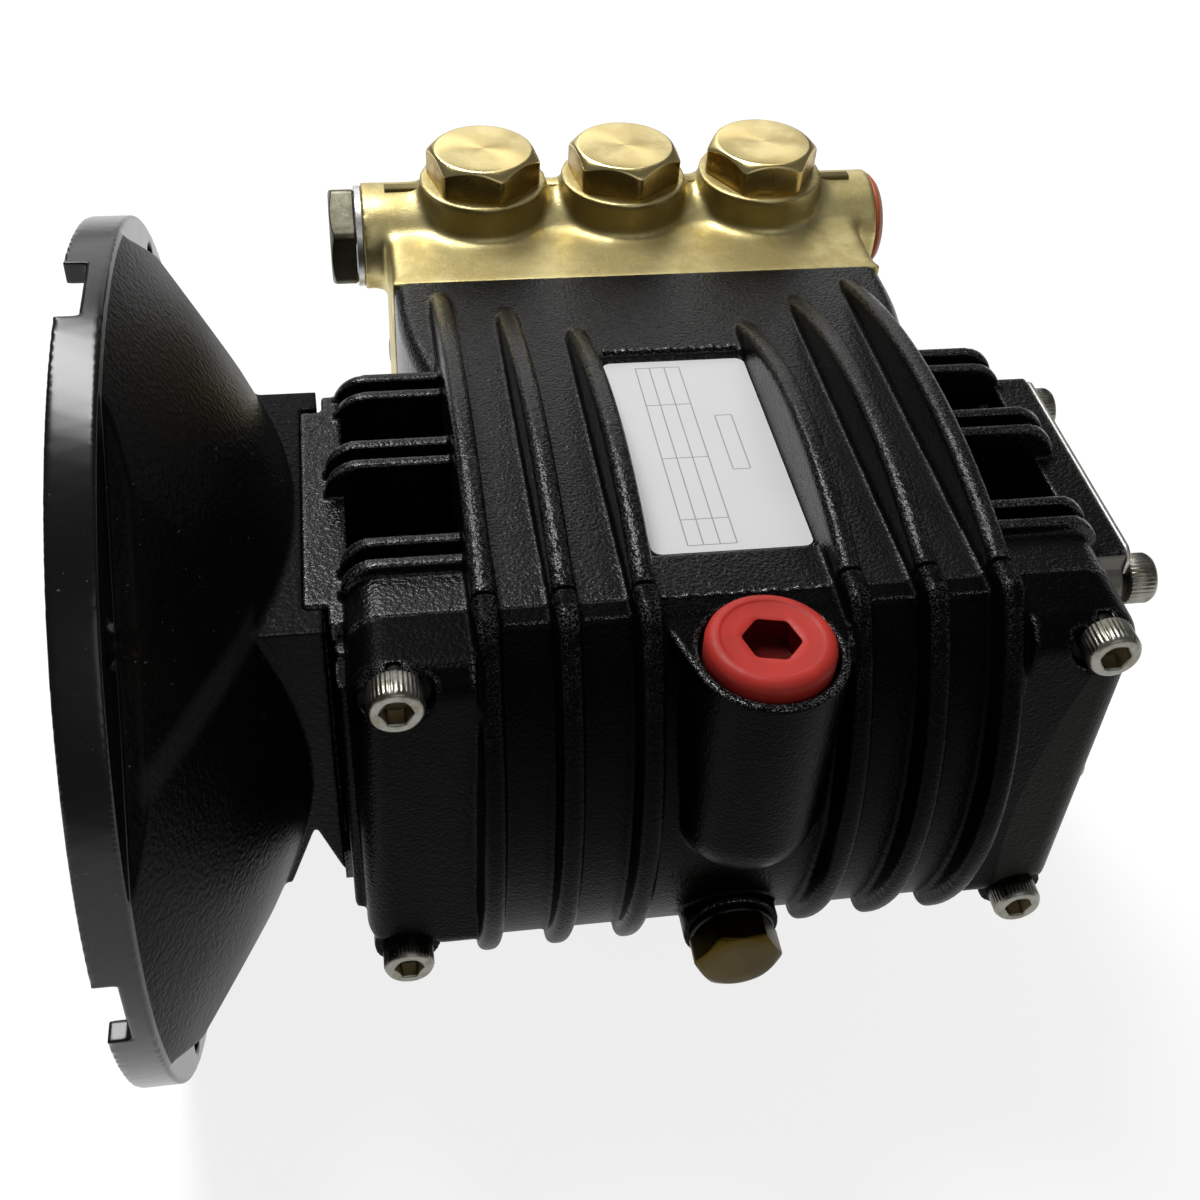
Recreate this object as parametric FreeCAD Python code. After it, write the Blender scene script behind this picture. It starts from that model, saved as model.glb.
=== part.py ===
import FreeCAD, Part
import math
import os

# A high-pressure triplex plunger pump that bolts to the face of an electric motor.
# All sizes are in millimetres. The origin is the centre of the flange face that meets the
# motor. +X runs along the crankshaft into the pump, +Y towards the valve head, +Z is up.

Vector = FreeCAD.Vector
ALONG_X = Vector(1, 0, 0)
ALONG_Y = Vector(0, 1, 0)
ALONG_Z = Vector(0, 0, 1)

# Overall layout
pump_mid_x = 114.6
plunger_pitch = 33.8

# Motor flange, with a bell that narrows to a square neck
motor_bolt_edge = 7.5
rim_thickness = 8.0
motor_bolt_circle_radius = 78.0
motor_bolt_hole_radius = 4.5
motor_bolt_count = 4
register_radius = 55.0
register_land = 7.0
rim_lip = 4.4
relief_depth = 4.0
relief_half_angle = 32.0
notch_width = 16.0
cone_edge_inset = 0.7
cone_swell_x = 23.0
cone_swell_radius = 58.5
neck_half_width = 35.6
neck_corner_x = 27.3
neck_top_x = 34.9
neck_end_x = 36.3
neck_lug_x = 39.6
facet_start_x = 11.9
facet_outer_reach = 74.1
facet_inner_reach = 51.4
groove_x = 34.6
groove_half_width = 6.6
groove_inner_reach = 38.0
groove_outer_reach = 52.0
bell_floor_x = 27.0
bell_floor_radius = 45.0
bell_cone_start_x = 14.0
bell_seal_window_radius = 26.0

# Crankcase casting
case_half_width = 49.6
seam_y = -37.8
seam_flange_y = -28.0
seam_flange_half_width = 71.0
seam_flange_top_z = 41.0
seam_corner_radius = 6.5
side_strip_half_width = 73.2
side_strip_half_height = 32.0
side_strip_end_y = -46.0
side_strip_corner_radius = 1.5
flare_start_y = 28.0
flare_end_y = 62.0
head_joint_y = 70.8
head_end_half_width = 56.8
head_end_half_height = 38.9
head_end_corner_radius = 3.5
wing_inner_x = 44.5
wing_half_width = 29.2
wing_half_height = 35.7
wing_corner_radius = 1.5
heel_start_x = 40.6
heel_half_width = 34.3
wing_boss_radius = 4.6
wing_boss_length = 10.8
pocket_floor_z = 21.0

# Ribs that run over the crankcase and down the rear cover
rib_offsets = (18.8, 33.1, 47.1)
rib_tip_y = (50.0, 59.5, 66.0)
rib_thickness = 4.5
rib_edge_radius = 1.8
rib_seam_z = 45.6
rib_crest_y = 3.0
rib_crest_z = 51.0
rib_root = 6.0

# Cooling fins between the crankcase and its side walls
fin_pair_y = (29.4, 4.6, -23.9)
fin_top_z = (41.0, 43.4, 43.6)
fin_spacing = 5.8
fin_thickness = 2.4
fin_outer_x = (43.0, 40.9, 42.9)
fin_corner_radius = 7.0

# Rear cover
cover_lip_thickness = 4.6
cover_corner_depth = 16.6
cover_seat_depth = 14.0
cover_scoop_radius = 6.6
cover_corner_radius = 6.0
cover_corner_bottom_z = -38.4
cover_screw_half_x = 63.4
cover_screw_half_z = 37.4
cover_top_y = -41.5
cover_back_y = -57.5
cover_bottom_y = -49.0
cover_back_z = -2.0
cover_rib_top_y = -45.4
cover_rib_back_y = -63.5
cover_rib_bottom_y = -49.6
cover_shoulder_radius = 5.0

# Oil filler, oil drain and their plugs
filler_x = 115.6
filler_y = -52.4
filler_boss_radius = 14.2
filler_boss_bottom_z = 2.0
filler_pad_z = 40.8
filler_pad_corner_y = -43.5
filler_recess_radius = 12.4
filler_recess_depth = 3.6
filler_plug_radius = 11.6
filler_plug_top_z = 43.9
filler_plug_edge = 1.0
filler_stub_radius = 8.0
filler_stub_length = 12.0
filler_socket_flats = 9.2
filler_socket_turn = -12.0
filler_socket_depth = 6.0
filler_seal_thickness = 1.4
drain_x = 116.2
drain_z = -35.6
drain_boss_radius = 9.8
drain_face_rise = 0.3
drain_washer_thickness = 1.3
drain_washer_radius = 8.6
drain_hex_flats = 16.0
drain_hex_height = 6.5
drain_stub_radius = 5.0
drain_stub_length = 10.0

# Bearing cover on the side away from the motor
bearing_cover_thickness = 1.2
bearing_screw_half_y = 27.4
bearing_screw_half_z = 27.1
bearing_cover_half_y = 29.2
bearing_cover_half_z = 35.5
bearing_corner_radius = 3.0
bearing_hub_radius = 19.0
bearing_hub_height = 2.0

# Socket-head screws
m6_head_radius = 5.0
m6_head_height = 6.0
m6_shank_radius = 3.0
m6_socket_flats = 5.0
m6_socket_depth = 3.2
cover_screw_length = 22.0
bearing_screw_length = 12.0
flange_screw_length = 15.0
flange_screw_half_y = 24.0
flange_screw_half_z = 26.0
m8_head_radius = 6.5
m8_head_height = 8.0
m8_shank_radius = 4.0
m8_socket_flats = 6.0
m8_socket_depth = 4.0
head_bolt_length = 60.0
head_bolt_half_z = 15.0

# Valve head
head_front_y = 118.0
head_half_width = 57.2
head_half_height = 38.5
head_edge_radius = 5.0
head_boss_reach = 5.4
gallery_y = 103.0
gallery_z = 32.0
gallery_boss_radius = 12.6
valve_y = 101.5
collar_radius = 15.0
collar_top_z = 47.6
cap_hex_flats = 24.0
cap_hex_height = 7.7
cap_face_radius = 11.4
cap_edge_drop = 2.2
cap_stub_radius = 9.8
cap_stub_length = 14.0
outlet_cap_turns = (-76.0, -82.0, -60.0)
inlet_cap_turns = (-70.0, -95.0, -84.0)

# Plugs and caps in the ports at the ends of the head
port_radius = 8.2
port_depth = 16.0
port_plug_flats = 22.0
port_plug_height = 6.0
port_plug_edge = 1.0
port_stub_length = 12.0
port_washer_radius = 12.0
port_washer_thickness = 1.9
port_cap_radius = 11.6
port_cap_rim = 1.2
port_cap_dome = 1.6
port_cap_dome_radius = 9.0
port_cap_stub_length = 9.0

# Hollow drive shaft, with its oil seal
shaft_bore_radius = 12.0
shaft_outer_radius = 17.0
shaft_mouth_x = 19.0
shaft_length = 74.0
shaft_bore_length = 60.0
keyway_width = 8.0
keyway_depth = 3.3
seal_radius = 24.0
seal_width = 5.5
seal_recess = 0.8

# Rating plate, in a shallow recess between the two middle ribs
plate_length = 62.3
plate_thickness = 0.3
plate_rear_y = -25.5
plate_recess_depth = 1.5
plate_recess_margin = 1.4
plate_left_gap = 1.8
plate_right_gap = 0.4
plate_corner_radius = 2.0

# Edges and fits
machined_edge = 0.5
running_clearance = 0.3
hole_clearance = 0.3
thread_clearance = 0.05
tip_clearance = 1.0

flange_radius = motor_bolt_circle_radius + motor_bolt_edge
cone_edge_radius = flange_radius - cone_edge_inset
wing_outer_x = neck_end_x
case_left_x = pump_mid_x - case_half_width
case_right_x = pump_mid_x + case_half_width
head_boss_end_half = head_half_width + head_boss_reach
bearing_face_x = 2 * pump_mid_x - wing_outer_x
cover_seat_y = seam_y - cover_seat_depth
drain_face_y = cover_back_y + drain_face_rise
case_fall = (seam_flange_top_z - head_end_half_height) / (head_joint_y - seam_flange_y)
valve_x = (pump_mid_x - plunger_pitch, pump_mid_x, pump_mid_x + plunger_pitch)


def block(x0, x1, y0, y1, z0, z1):
    """A rectangular block between two corners."""
    return Part.makeBox(x1 - x0, y1 - y0, z1 - z0, Vector(x0, y0, z0))


def rod(start, direction, length, radius):
    """A round bar from a start point along a direction."""
    return Part.makeCylinder(radius, length, start, direction)


def soften(shape, direction, radius):
    """Round the straight edges of a shape that run along one direction."""
    edges = []
    for edge in shape.Edges:
        if isinstance(edge.Curve, Part.Line) and abs(edge.Curve.Direction.dot(direction)) > 0.999:
            edges.append(edge)
    return shape.makeFillet(radius, edges)


def join(pieces):
    """Fuse pieces into one clean solid."""
    return pieces[0].multiFuse(pieces[1:]).removeSplitter()


def plate_across_x(wire_edges, x0, x1):
    """Push a closed outline in the YZ plane from x0 to x1."""
    face = Part.Face(Part.Wire(wire_edges))
    face.translate(Vector(x0, 0, 0))
    return face.extrude(Vector(x1 - x0, 0, 0))


def line(a, b):
    return Part.LineSegment(a, b).toShape()


def arc(a, through, b):
    return Part.Arc(a, through, b).toShape()


def yz(y, z):
    return Vector(0, y, z)


def mirror_x(shape):
    """Mirror a shape across the pump's middle plane."""
    return shape.mirror(Vector(pump_mid_x, 0, 0), ALONG_X)


def mirror_z(shape):
    """Mirror a shape across the height of the crankshaft."""
    return shape.mirror(Vector(0, 0, 0), ALONG_Z)


def hex_bar(start, direction, length, flats, turn):
    """A six-sided bar from a start point along a direction, turned about it."""
    corner_radius = flats / math.sqrt(3)
    corners = []
    for side in range(7):
        angle = math.radians(turn + 60 * side)
        corners.append(Vector(corner_radius * math.cos(angle), corner_radius * math.sin(angle), 0))
    bar = Part.Face(Part.makePolygon(corners)).extrude(Vector(0, 0, length))
    bar.Placement = FreeCAD.Placement(start, FreeCAD.Rotation(ALONG_Z, direction))
    return bar


def turned_hex(start, direction, length, flats, turn, face_radius, edge_drop):
    """A hexagon head whose corners are turned off in a cone at the far end."""
    corner_radius = flats / math.sqrt(3)
    spread = (corner_radius - face_radius) * length / edge_drop
    cone = Part.makeCone(face_radius + spread, face_radius, length, start, direction)
    return hex_bar(start, direction, length, flats, turn).common(cone)


def socket_screw(seat, outward, head_radius, head_height, shank_radius, shank_length, flats, depth):
    """A socket-head cap screw: its head stands on the seat and its shank points inward."""
    head = rod(seat, outward, head_height, head_radius)
    top_edges = [e for e in head.Edges if (e.CenterOfMass - seat).dot(outward) > head_height - 0.1]
    head = head.makeChamfer(machined_edge, top_edges)
    shank = rod(seat - outward * shank_length, outward, shank_length, shank_radius)
    socket_start = seat + outward * (head_height - depth)
    socket = hex_bar(socket_start, outward, depth, flats, 0)
    return join([head, shank]).cut(socket)


def m6_screw(seat, outward, shank_length):
    return socket_screw(
        seat, outward, m6_head_radius, m6_head_height, m6_shank_radius,
        shank_length, m6_socket_flats, m6_socket_depth,
    )


def m6_hole(seat, outward, shank_length, radius):
    """The hole that an M6 screw needs, from above its seat to past its tip."""
    length = shank_length + tip_clearance
    return rod(seat - outward * length, outward, length, radius)


def four_places(half_a, half_b):
    return [(sa * half_a, sb * half_b) for sa in (-1, 1) for sb in (-1, 1)]


# Screw places, shared by the screws and their holes
cover_screw_seats = [
    Vector(pump_mid_x + dx, cover_seat_y, dz)
    for dx, dz in four_places(cover_screw_half_x, cover_screw_half_z)
]
bearing_screw_seats = [
    Vector(bearing_face_x + bearing_cover_thickness, y, z)
    for y, z in four_places(bearing_screw_half_y, bearing_screw_half_z)
]
flange_screw_seats = [
    Vector(bell_floor_x, y, z) for y, z in four_places(flange_screw_half_y, flange_screw_half_z)
]
head_bolt_seats = [
    Vector(pump_mid_x + step * plunger_pitch / 2, head_front_y, z)
    for z in (-head_bolt_half_z, head_bolt_half_z)
    for step in (-3, -1, 1, 3)
]
bay_left_x = pump_mid_x - rib_offsets[0] + rib_thickness / 2
bay_right_x = pump_mid_x + rib_offsets[0] - rib_thickness / 2


def corner_prism(outline, angle):
    """A long prism across one corner of the bell, from points given as x and reach."""
    far = 2 * flange_radius
    points = [Vector(x, reach, -far) for x, reach in outline]
    prism = Part.Face(Part.makePolygon(points + points[:1])).extrude(Vector(0, 0, 2 * far))
    prism.rotate(Vector(0, 0, 0), ALONG_X, angle)
    return prism


def lower_groove(angle):
    """The open groove where the bell's lower corners meet the crankcase."""
    return corner_prism(
        [
            (groove_x - groove_half_width, groove_outer_reach),
            (groove_x, groove_inner_reach),
            (groove_x + groove_half_width, groove_outer_reach),
        ],
        angle,
    )


def sloped_with_case(shape):
    """Tilt a level shape as the crankcase's top between the ribs, which falls towards the head."""
    pivot = Vector(0, seam_flange_y, seam_flange_top_z)
    shape.rotate(pivot, ALONG_X, -math.degrees(math.atan(case_fall)))
    return shape


def case_body():
    """The tapered middle of the crankcase, which flares out in an arc to meet the head."""
    length = flare_end_y - flare_start_y
    spread = head_end_half_width - case_half_width
    radius = (spread ** 2 + length ** 2) / (2 * spread)
    bow = radius - math.sqrt(radius ** 2 - length ** 2 / 4)
    left = [
        Vector(pump_mid_x - case_half_width, seam_flange_y, 0),
        Vector(pump_mid_x - case_half_width, flare_start_y, 0),
        Vector(pump_mid_x - head_end_half_width + bow, flare_end_y - length / 2, 0),
        Vector(pump_mid_x - head_end_half_width, flare_end_y, 0),
        Vector(pump_mid_x - head_end_half_width, head_joint_y, 0),
    ]
    right = [Vector(2 * pump_mid_x - point.x, point.y, 0) for point in left]
    edges = [line(left[0], right[0]), line(left[4], right[4])]
    for side in (left, right):
        edges.append(line(side[0], side[1]))
        edges.append(arc(side[1], side[2], side[3]))
        edges.append(line(side[3], side[4]))
    plan = Part.Face(Part.Wire(Part.sortEdges(edges)[0]))
    plan.translate(Vector(0, 0, -seam_flange_top_z))
    body = plan.extrude(Vector(0, 0, 2 * seam_flange_top_z))
    side_outline = Part.makePolygon([
        yz(seam_flange_y, seam_flange_top_z),
        yz(head_joint_y, head_end_half_height),
        yz(head_joint_y, -head_end_half_height),
        yz(seam_flange_y, -seam_flange_top_z),
        yz(seam_flange_y, seam_flange_top_z),
    ])
    body = body.common(plate_across_x([side_outline], 0, 2 * pump_mid_x))
    long_edges = [
        e for e in body.Edges
        if abs(e.CenterOfMass.z) > pocket_floor_z and abs(e.CenterOfMass.x - pump_mid_x) > 1
        and e.CenterOfMass.y > flare_start_y
    ]
    return body.makeFillet(head_end_corner_radius, long_edges)


def motor_flange():
    """The cast bell: motor rim, cone, square neck, and the hollow for the motor's shaft end."""
    outline = [
        line(Vector(0, 0, 0), Vector(0, flange_radius, 0)),
        line(Vector(0, flange_radius, 0), Vector(rim_thickness, flange_radius, 0)),
        line(Vector(rim_thickness, flange_radius, 0), Vector(rim_thickness, cone_edge_radius, 0)),
        arc(
            Vector(rim_thickness, cone_edge_radius, 0),
            Vector(cone_swell_x, cone_swell_radius, 0),
            Vector(neck_top_x, neck_half_width, 0),
        ),
        line(Vector(neck_top_x, neck_half_width, 0), Vector(neck_end_x, neck_half_width, 0)),
        line(Vector(neck_end_x, neck_half_width, 0), Vector(neck_end_x, 0, 0)),
        line(Vector(neck_end_x, 0, 0), Vector(0, 0, 0)),
    ]
    bell = Part.Face(Part.Wire(outline)).revolve(Vector(0, 0, 0), ALONG_X, 360)
    bell = Part.Solid(bell) if bell.ShapeType != "Solid" else bell
    for quarter in range(4):
        bell = bell.cut(corner_prism(
            [
                (rim_thickness, facet_outer_reach),
                (facet_start_x, facet_outer_reach),
                (neck_corner_x, facet_inner_reach),
                (neck_corner_x, 2 * flange_radius),
                (rim_thickness, 2 * flange_radius),
            ],
            45 + 90 * quarter,
        ))
    neck = block(
        neck_corner_x - rim_thickness, neck_end_x,
        -neck_half_width, neck_half_width, -neck_half_width, neck_half_width,
    )
    pieces = [bell, neck]
    for side in (-1, 1):
        outer = side * neck_half_width
        inner = side * (wing_half_width + running_clearance)
        pieces.append(block(
            neck_end_x, neck_lug_x, min(outer, inner), max(outer, inner),
            -neck_half_width, neck_half_width,
        ))
    bell = join(pieces)
    hollow = Part.Face(Part.makePolygon([
        Vector(0, 0, 0),
        Vector(0, register_radius, 0),
        Vector(bell_cone_start_x, register_radius, 0),
        Vector(bell_floor_x, bell_floor_radius, 0),
        Vector(bell_floor_x, 0, 0),
        Vector(0, 0, 0),
    ])).revolve(Vector(0, 0, 0), ALONG_X, 360)
    bell = bell.cut(hollow)
    bell = bell.cut(rod(Vector(0, 0, 0), ALONG_X, neck_end_x, bell_seal_window_radius))
    relief_inner = register_radius + register_land
    relief_outer = flange_radius - rim_lip
    for quarter in range(4):
        start = 90 * quarter - relief_half_angle
        ring = Part.makeCylinder(
            relief_outer, relief_depth, Vector(0, 0, 0), ALONG_X, 2 * relief_half_angle,
        ).cut(rod(Vector(0, 0, 0), ALONG_X, relief_depth, relief_inner))
        ring.rotate(Vector(0, 0, 0), ALONG_X, start)
        bell = bell.cut(ring)
        notch = block(0, relief_depth, relief_outer - rim_lip, 2 * flange_radius,
                      -notch_width / 2, notch_width / 2)
        notch.rotate(Vector(0, 0, 0), ALONG_X, 90 * quarter)
        bell = bell.cut(notch)
    bell = bell.cut(lower_groove(-45)).cut(lower_groove(-135))
    for place in range(motor_bolt_count):
        angle = math.radians(45 + 360 * place / motor_bolt_count)
        centre = Vector(
            0, motor_bolt_circle_radius * math.cos(angle), motor_bolt_circle_radius * math.sin(angle),
        )
        bell = bell.cut(rod(centre, ALONG_X, neck_corner_x, motor_bolt_hole_radius))
    for seat in flange_screw_seats:
        radius = m6_shank_radius + hole_clearance
        bell = bell.cut(m6_hole(seat, ALONG_X * -1, flange_screw_length, radius))
    return bell


def case_rib(offset, tip_y):
    """One arched rib over the crankcase, from the seam to its tip near the head."""
    tip_z = head_end_half_height
    root_z = head_end_half_height - rib_root
    start = yz(seam_y, rib_seam_z)
    crest = yz(rib_crest_y, rib_crest_z)
    tip = yz(tip_y, tip_z)
    x0 = pump_mid_x + offset - rib_thickness / 2
    rib = plate_across_x(
        [
            line(yz(seam_y, root_z), start),
            arc(start, crest, tip),
            line(tip, yz(tip_y, root_z)),
            line(yz(tip_y, root_z), yz(seam_y, root_z)),
        ],
        x0,
        x0 + rib_thickness,
    )
    crest_edges = [
        e for e in rib.Edges
        if not isinstance(e.Curve, Part.Line) and abs(e.CenterOfMass.x - x0 - rib_thickness / 2) > 1
    ]
    return rib.makeFillet(rib_edge_radius, crest_edges)


def back_outline(top_y, back_y, bottom_y, half_height):
    """The bowed outline of the rear cover, seen from the side, open side on the seam."""
    top = yz(top_y, half_height)
    bottom = yz(bottom_y, -half_height)
    return [
        line(yz(seam_y, -half_height), yz(seam_y, half_height)),
        line(yz(seam_y, half_height), top),
        arc(top, yz(back_y, cover_back_z), bottom),
        line(bottom, yz(seam_y, -half_height)),
    ]


def cover_rib(offset):
    """One rib down the back of the rear cover, with a rounded shoulder at each end."""
    x0 = pump_mid_x + offset - rib_thickness / 2
    rib = plate_across_x(
        back_outline(cover_rib_top_y, cover_rib_back_y, cover_rib_bottom_y, rib_seam_z),
        x0,
        x0 + rib_thickness,
    )
    shoulders = [
        e for e in rib.Edges
        if isinstance(e.Curve, Part.Line) and e.Length < rib_thickness + 0.01
        and e.CenterOfMass.y < seam_y - 0.01
    ]
    rib = rib.makeFillet(cover_shoulder_radius, shoulders)
    crest_edges = [
        e for e in rib.Edges
        if abs(abs(e.CenterOfMass.x - x0 - rib_thickness / 2) - rib_thickness / 2) < 0.01
        and e.CenterOfMass.y < seam_y - 0.01
    ]
    return rib.makeFillet(rib_edge_radius, crest_edges)


def side_fin(y, top_z, outer_x):
    """One thin cooling fin between the crankcase and its left side wall."""
    fin = block(
        outer_x, case_left_x + rib_thickness / 2,
        y - fin_thickness / 2, y + fin_thickness / 2, pocket_floor_z - rib_root, top_z,
    )
    corner = [
        e for e in fin.Edges
        if abs(e.CenterOfMass.x - outer_x) < 0.01 and abs(e.CenterOfMass.z - top_z) < 0.01
    ]
    return fin.makeFillet(fin_corner_radius, corner)


def seam_band(y0, y1, strip_y0):
    """The band where crankcase and rear cover meet, with a strip down each side."""
    band = soften(
        block(
            pump_mid_x - seam_flange_half_width, pump_mid_x + seam_flange_half_width,
            y0, y1, -seam_flange_top_z, seam_flange_top_z,
        ),
        ALONG_Y,
        seam_corner_radius,
    )
    strip = block(
        pump_mid_x - side_strip_half_width, pump_mid_x + side_strip_half_width,
        strip_y0, y1, -side_strip_half_height, side_strip_half_height,
    )
    pieces = [band, soften(strip, ALONG_Z, side_strip_corner_radius)]
    for seat in cover_screw_seats:
        if seat.z < 0:
            start = Vector(seat.x, y0, seat.z)
            pieces.append(rod(start, ALONG_Y, y1 - y0, cover_scoop_radius))
    return join(pieces)


def crankcase():
    """The ribbed casting that carries the crankshaft, closed behind by the rear cover."""
    seam_flange = seam_band(seam_y, seam_flange_y, seam_y)
    wing = soften(
        block(
            wing_outer_x, wing_inner_x, -wing_half_width, wing_half_width,
            -wing_half_height, wing_half_height,
        ),
        ALONG_X,
        wing_corner_radius,
    )
    arm = block(
        wing_inner_x, case_left_x, seam_flange_y, wing_half_width,
        -pocket_floor_z, pocket_floor_z,
    )
    side = [wing, arm]
    for y, top_z, outer_x in zip(fin_pair_y, fin_top_z, fin_outer_x):
        for step in (-0.5, 0.5):
            fin = side_fin(y + step * fin_spacing, top_z, outer_x)
            side.append(fin)
            side.append(mirror_z(fin))
    right = mirror_x(join(side))
    heel = soften(
        block(
            heel_start_x, wing_inner_x, -heel_half_width, heel_half_width,
            -wing_half_height, wing_half_height,
        ),
        ALONG_X,
        wing_corner_radius,
    )
    left = join(side + [heel])
    left = left.cut(lower_groove(-45)).cut(lower_groove(-135))
    pieces = [case_body(), seam_flange, left, right]
    for y, z in four_places(bearing_screw_half_y, bearing_screw_half_z):
        start = Vector(bearing_face_x - wing_boss_length, y, z)
        pieces.append(rod(start, ALONG_X, wing_boss_length, wing_boss_radius))
    for offset, tip_y in zip(rib_offsets, rib_tip_y):
        for sign in (-1, 1):
            rib = case_rib(sign * offset, tip_y)
            pieces.append(rib)
            pieces.append(mirror_z(rib))
    body = join(pieces)
    body = body.cut(sloped_with_case(block(
        bay_left_x, bay_right_x, plate_rear_y - plate_recess_margin,
        plate_rear_y + plate_length + plate_recess_margin,
        seam_flange_top_z - plate_recess_depth, seam_flange_top_z + rib_root,
    )))
    seal_end_x = wing_outer_x + seal_width + seal_recess
    shaft_end_x = shaft_mouth_x + shaft_length + running_clearance
    body = body.cut(rod(Vector(wing_outer_x, 0, 0), ALONG_X, seal_end_x - wing_outer_x, seal_radius))
    body = body.cut(rod(
        Vector(wing_outer_x, 0, 0), ALONG_X, shaft_end_x - wing_outer_x,
        shaft_outer_radius + running_clearance,
    ))
    thread_radius = m6_shank_radius + thread_clearance
    for seat in cover_screw_seats:
        body = body.cut(m6_hole(seat, ALONG_Y * -1, cover_screw_length, thread_radius))
    for seat in bearing_screw_seats:
        body = body.cut(m6_hole(seat, ALONG_X, bearing_screw_length, thread_radius))
    for seat in flange_screw_seats:
        body = body.cut(m6_hole(seat, ALONG_X * -1, flange_screw_length, thread_radius))
    bolt_radius = m8_shank_radius + thread_clearance
    for seat in head_bolt_seats:
        length = head_bolt_length + tip_clearance
        body = body.cut(rod(seat - ALONG_Y * length, ALONG_Y, length, bolt_radius))
    return body


def filler_pad():
    """The flat pad behind the filler boss, cut off at a slant where it leaves the left rib."""
    centre = Vector(filler_x, filler_y, 0)
    corner = Vector(bay_left_x, filler_pad_corner_y, 0)
    reach = corner - centre
    angle = math.atan2(reach.y, reach.x) + math.acos(filler_boss_radius / reach.Length)
    touch = centre + Vector(math.cos(angle), math.sin(angle), 0) * filler_boss_radius
    outline = Part.makePolygon([
        corner,
        touch,
        centre,
        Vector(bay_right_x, filler_y, 0),
        Vector(bay_right_x, seam_y, 0),
        Vector(bay_left_x, seam_y, 0),
        corner,
    ])
    depth = filler_recess_depth + filler_seal_thickness
    pad = Part.Face(outline).extrude(Vector(0, 0, depth))
    pad.translate(Vector(0, 0, filler_pad_z - depth))
    return pad


def rear_cover():
    """The barrel-backed cover over the crank space, with the oil filler and drain bosses."""
    left = pump_mid_x - seam_flange_half_width
    right = pump_mid_x + seam_flange_half_width
    top = seam_flange_top_z
    corner_back_y = seam_y - cover_corner_depth
    band = seam_band(seam_y - cover_lip_thickness, seam_y, side_strip_end_y)
    corner_block = soften(
        block(left, right, corner_back_y, seam_y, cover_corner_bottom_z, top),
        ALONG_Y,
        seam_corner_radius,
    )
    back_edges = [
        e for e in corner_block.Edges
        if abs(e.CenterOfMass.y - corner_back_y) < 0.01
    ]
    corner_block = corner_block.makeFillet(cover_corner_radius, back_edges)
    corner_block = corner_block.cut(block(
        case_left_x, case_right_x, 2 * corner_back_y, seam_y - cover_lip_thickness,
        -2 * top, 2 * top,
    ))
    barrel = plate_across_x(
        back_outline(cover_top_y, cover_back_y, cover_bottom_y, seam_flange_top_z),
        case_left_x,
        case_right_x,
    )
    filler_centre = Vector(filler_x, filler_y, filler_boss_bottom_z)
    boss = rod(filler_centre, ALONG_Z, filler_pad_z - filler_boss_bottom_z, filler_boss_radius)
    boss_end = Part.makeSphere(filler_boss_radius, filler_centre)
    pad = filler_pad()
    drain_top = Vector(drain_x, seam_y, drain_z)
    drain_boss = rod(drain_top, ALONG_Y * -1, seam_y - drain_face_y, drain_boss_radius)
    pieces = [band, corner_block, barrel, boss, boss_end, pad, drain_boss]
    for seat in cover_screw_seats:
        if seat.z < 0:
            pieces.append(rod(seat, ALONG_Y, cover_seat_depth, cover_scoop_radius))
    for offset in rib_offsets:
        for sign in (-1, 1):
            pieces.append(cover_rib(sign * offset))
    cover = join(pieces)
    overhang = 2 * flange_radius
    cover = cover.cut(block(
        left - overhang, right + overhang, seam_y, overhang, -overhang, overhang,
    ))
    cover = cover.cut(rod(
        Vector(filler_x, filler_y, filler_pad_z - filler_recess_depth), ALONG_Z,
        filler_recess_depth + rib_root, filler_recess_radius,
    ))
    hole_depth = filler_stub_length + tip_clearance
    cover = cover.cut(rod(
        Vector(filler_x, filler_y, filler_pad_z - filler_recess_depth - hole_depth), ALONG_Z,
        hole_depth, filler_stub_radius + thread_clearance,
    ))
    cover = cover.cut(rod(
        Vector(drain_x, drain_face_y, drain_z), ALONG_Y,
        drain_stub_length + tip_clearance, drain_stub_radius + thread_clearance,
    ))
    for seat in cover_screw_seats:
        radius = m6_shank_radius + hole_clearance
        cover = cover.cut(m6_hole(seat, ALONG_Y * -1, cover_screw_length, radius))
        cover = cover.cut(rod(seat, ALONG_Y * -1, m6_head_height, cover_scoop_radius))
    return cover


def bearing_cover():
    """The thin aluminium plate over the far crankshaft bearing."""
    outer_x = bearing_face_x + bearing_cover_thickness
    plate = soften(
        block(
            bearing_face_x, outer_x, -bearing_cover_half_y, bearing_cover_half_y,
            -bearing_cover_half_z, bearing_cover_half_z,
        ),
        ALONG_X, bearing_corner_radius,
    )
    hub = rod(Vector(outer_x, 0, 0), ALONG_X, bearing_hub_height, bearing_hub_radius)
    plate = join([plate, hub])
    for seat in bearing_screw_seats:
        radius = m6_shank_radius + hole_clearance
        plate = plate.cut(m6_hole(seat, ALONG_X, bearing_screw_length, radius))
    return plate


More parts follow.
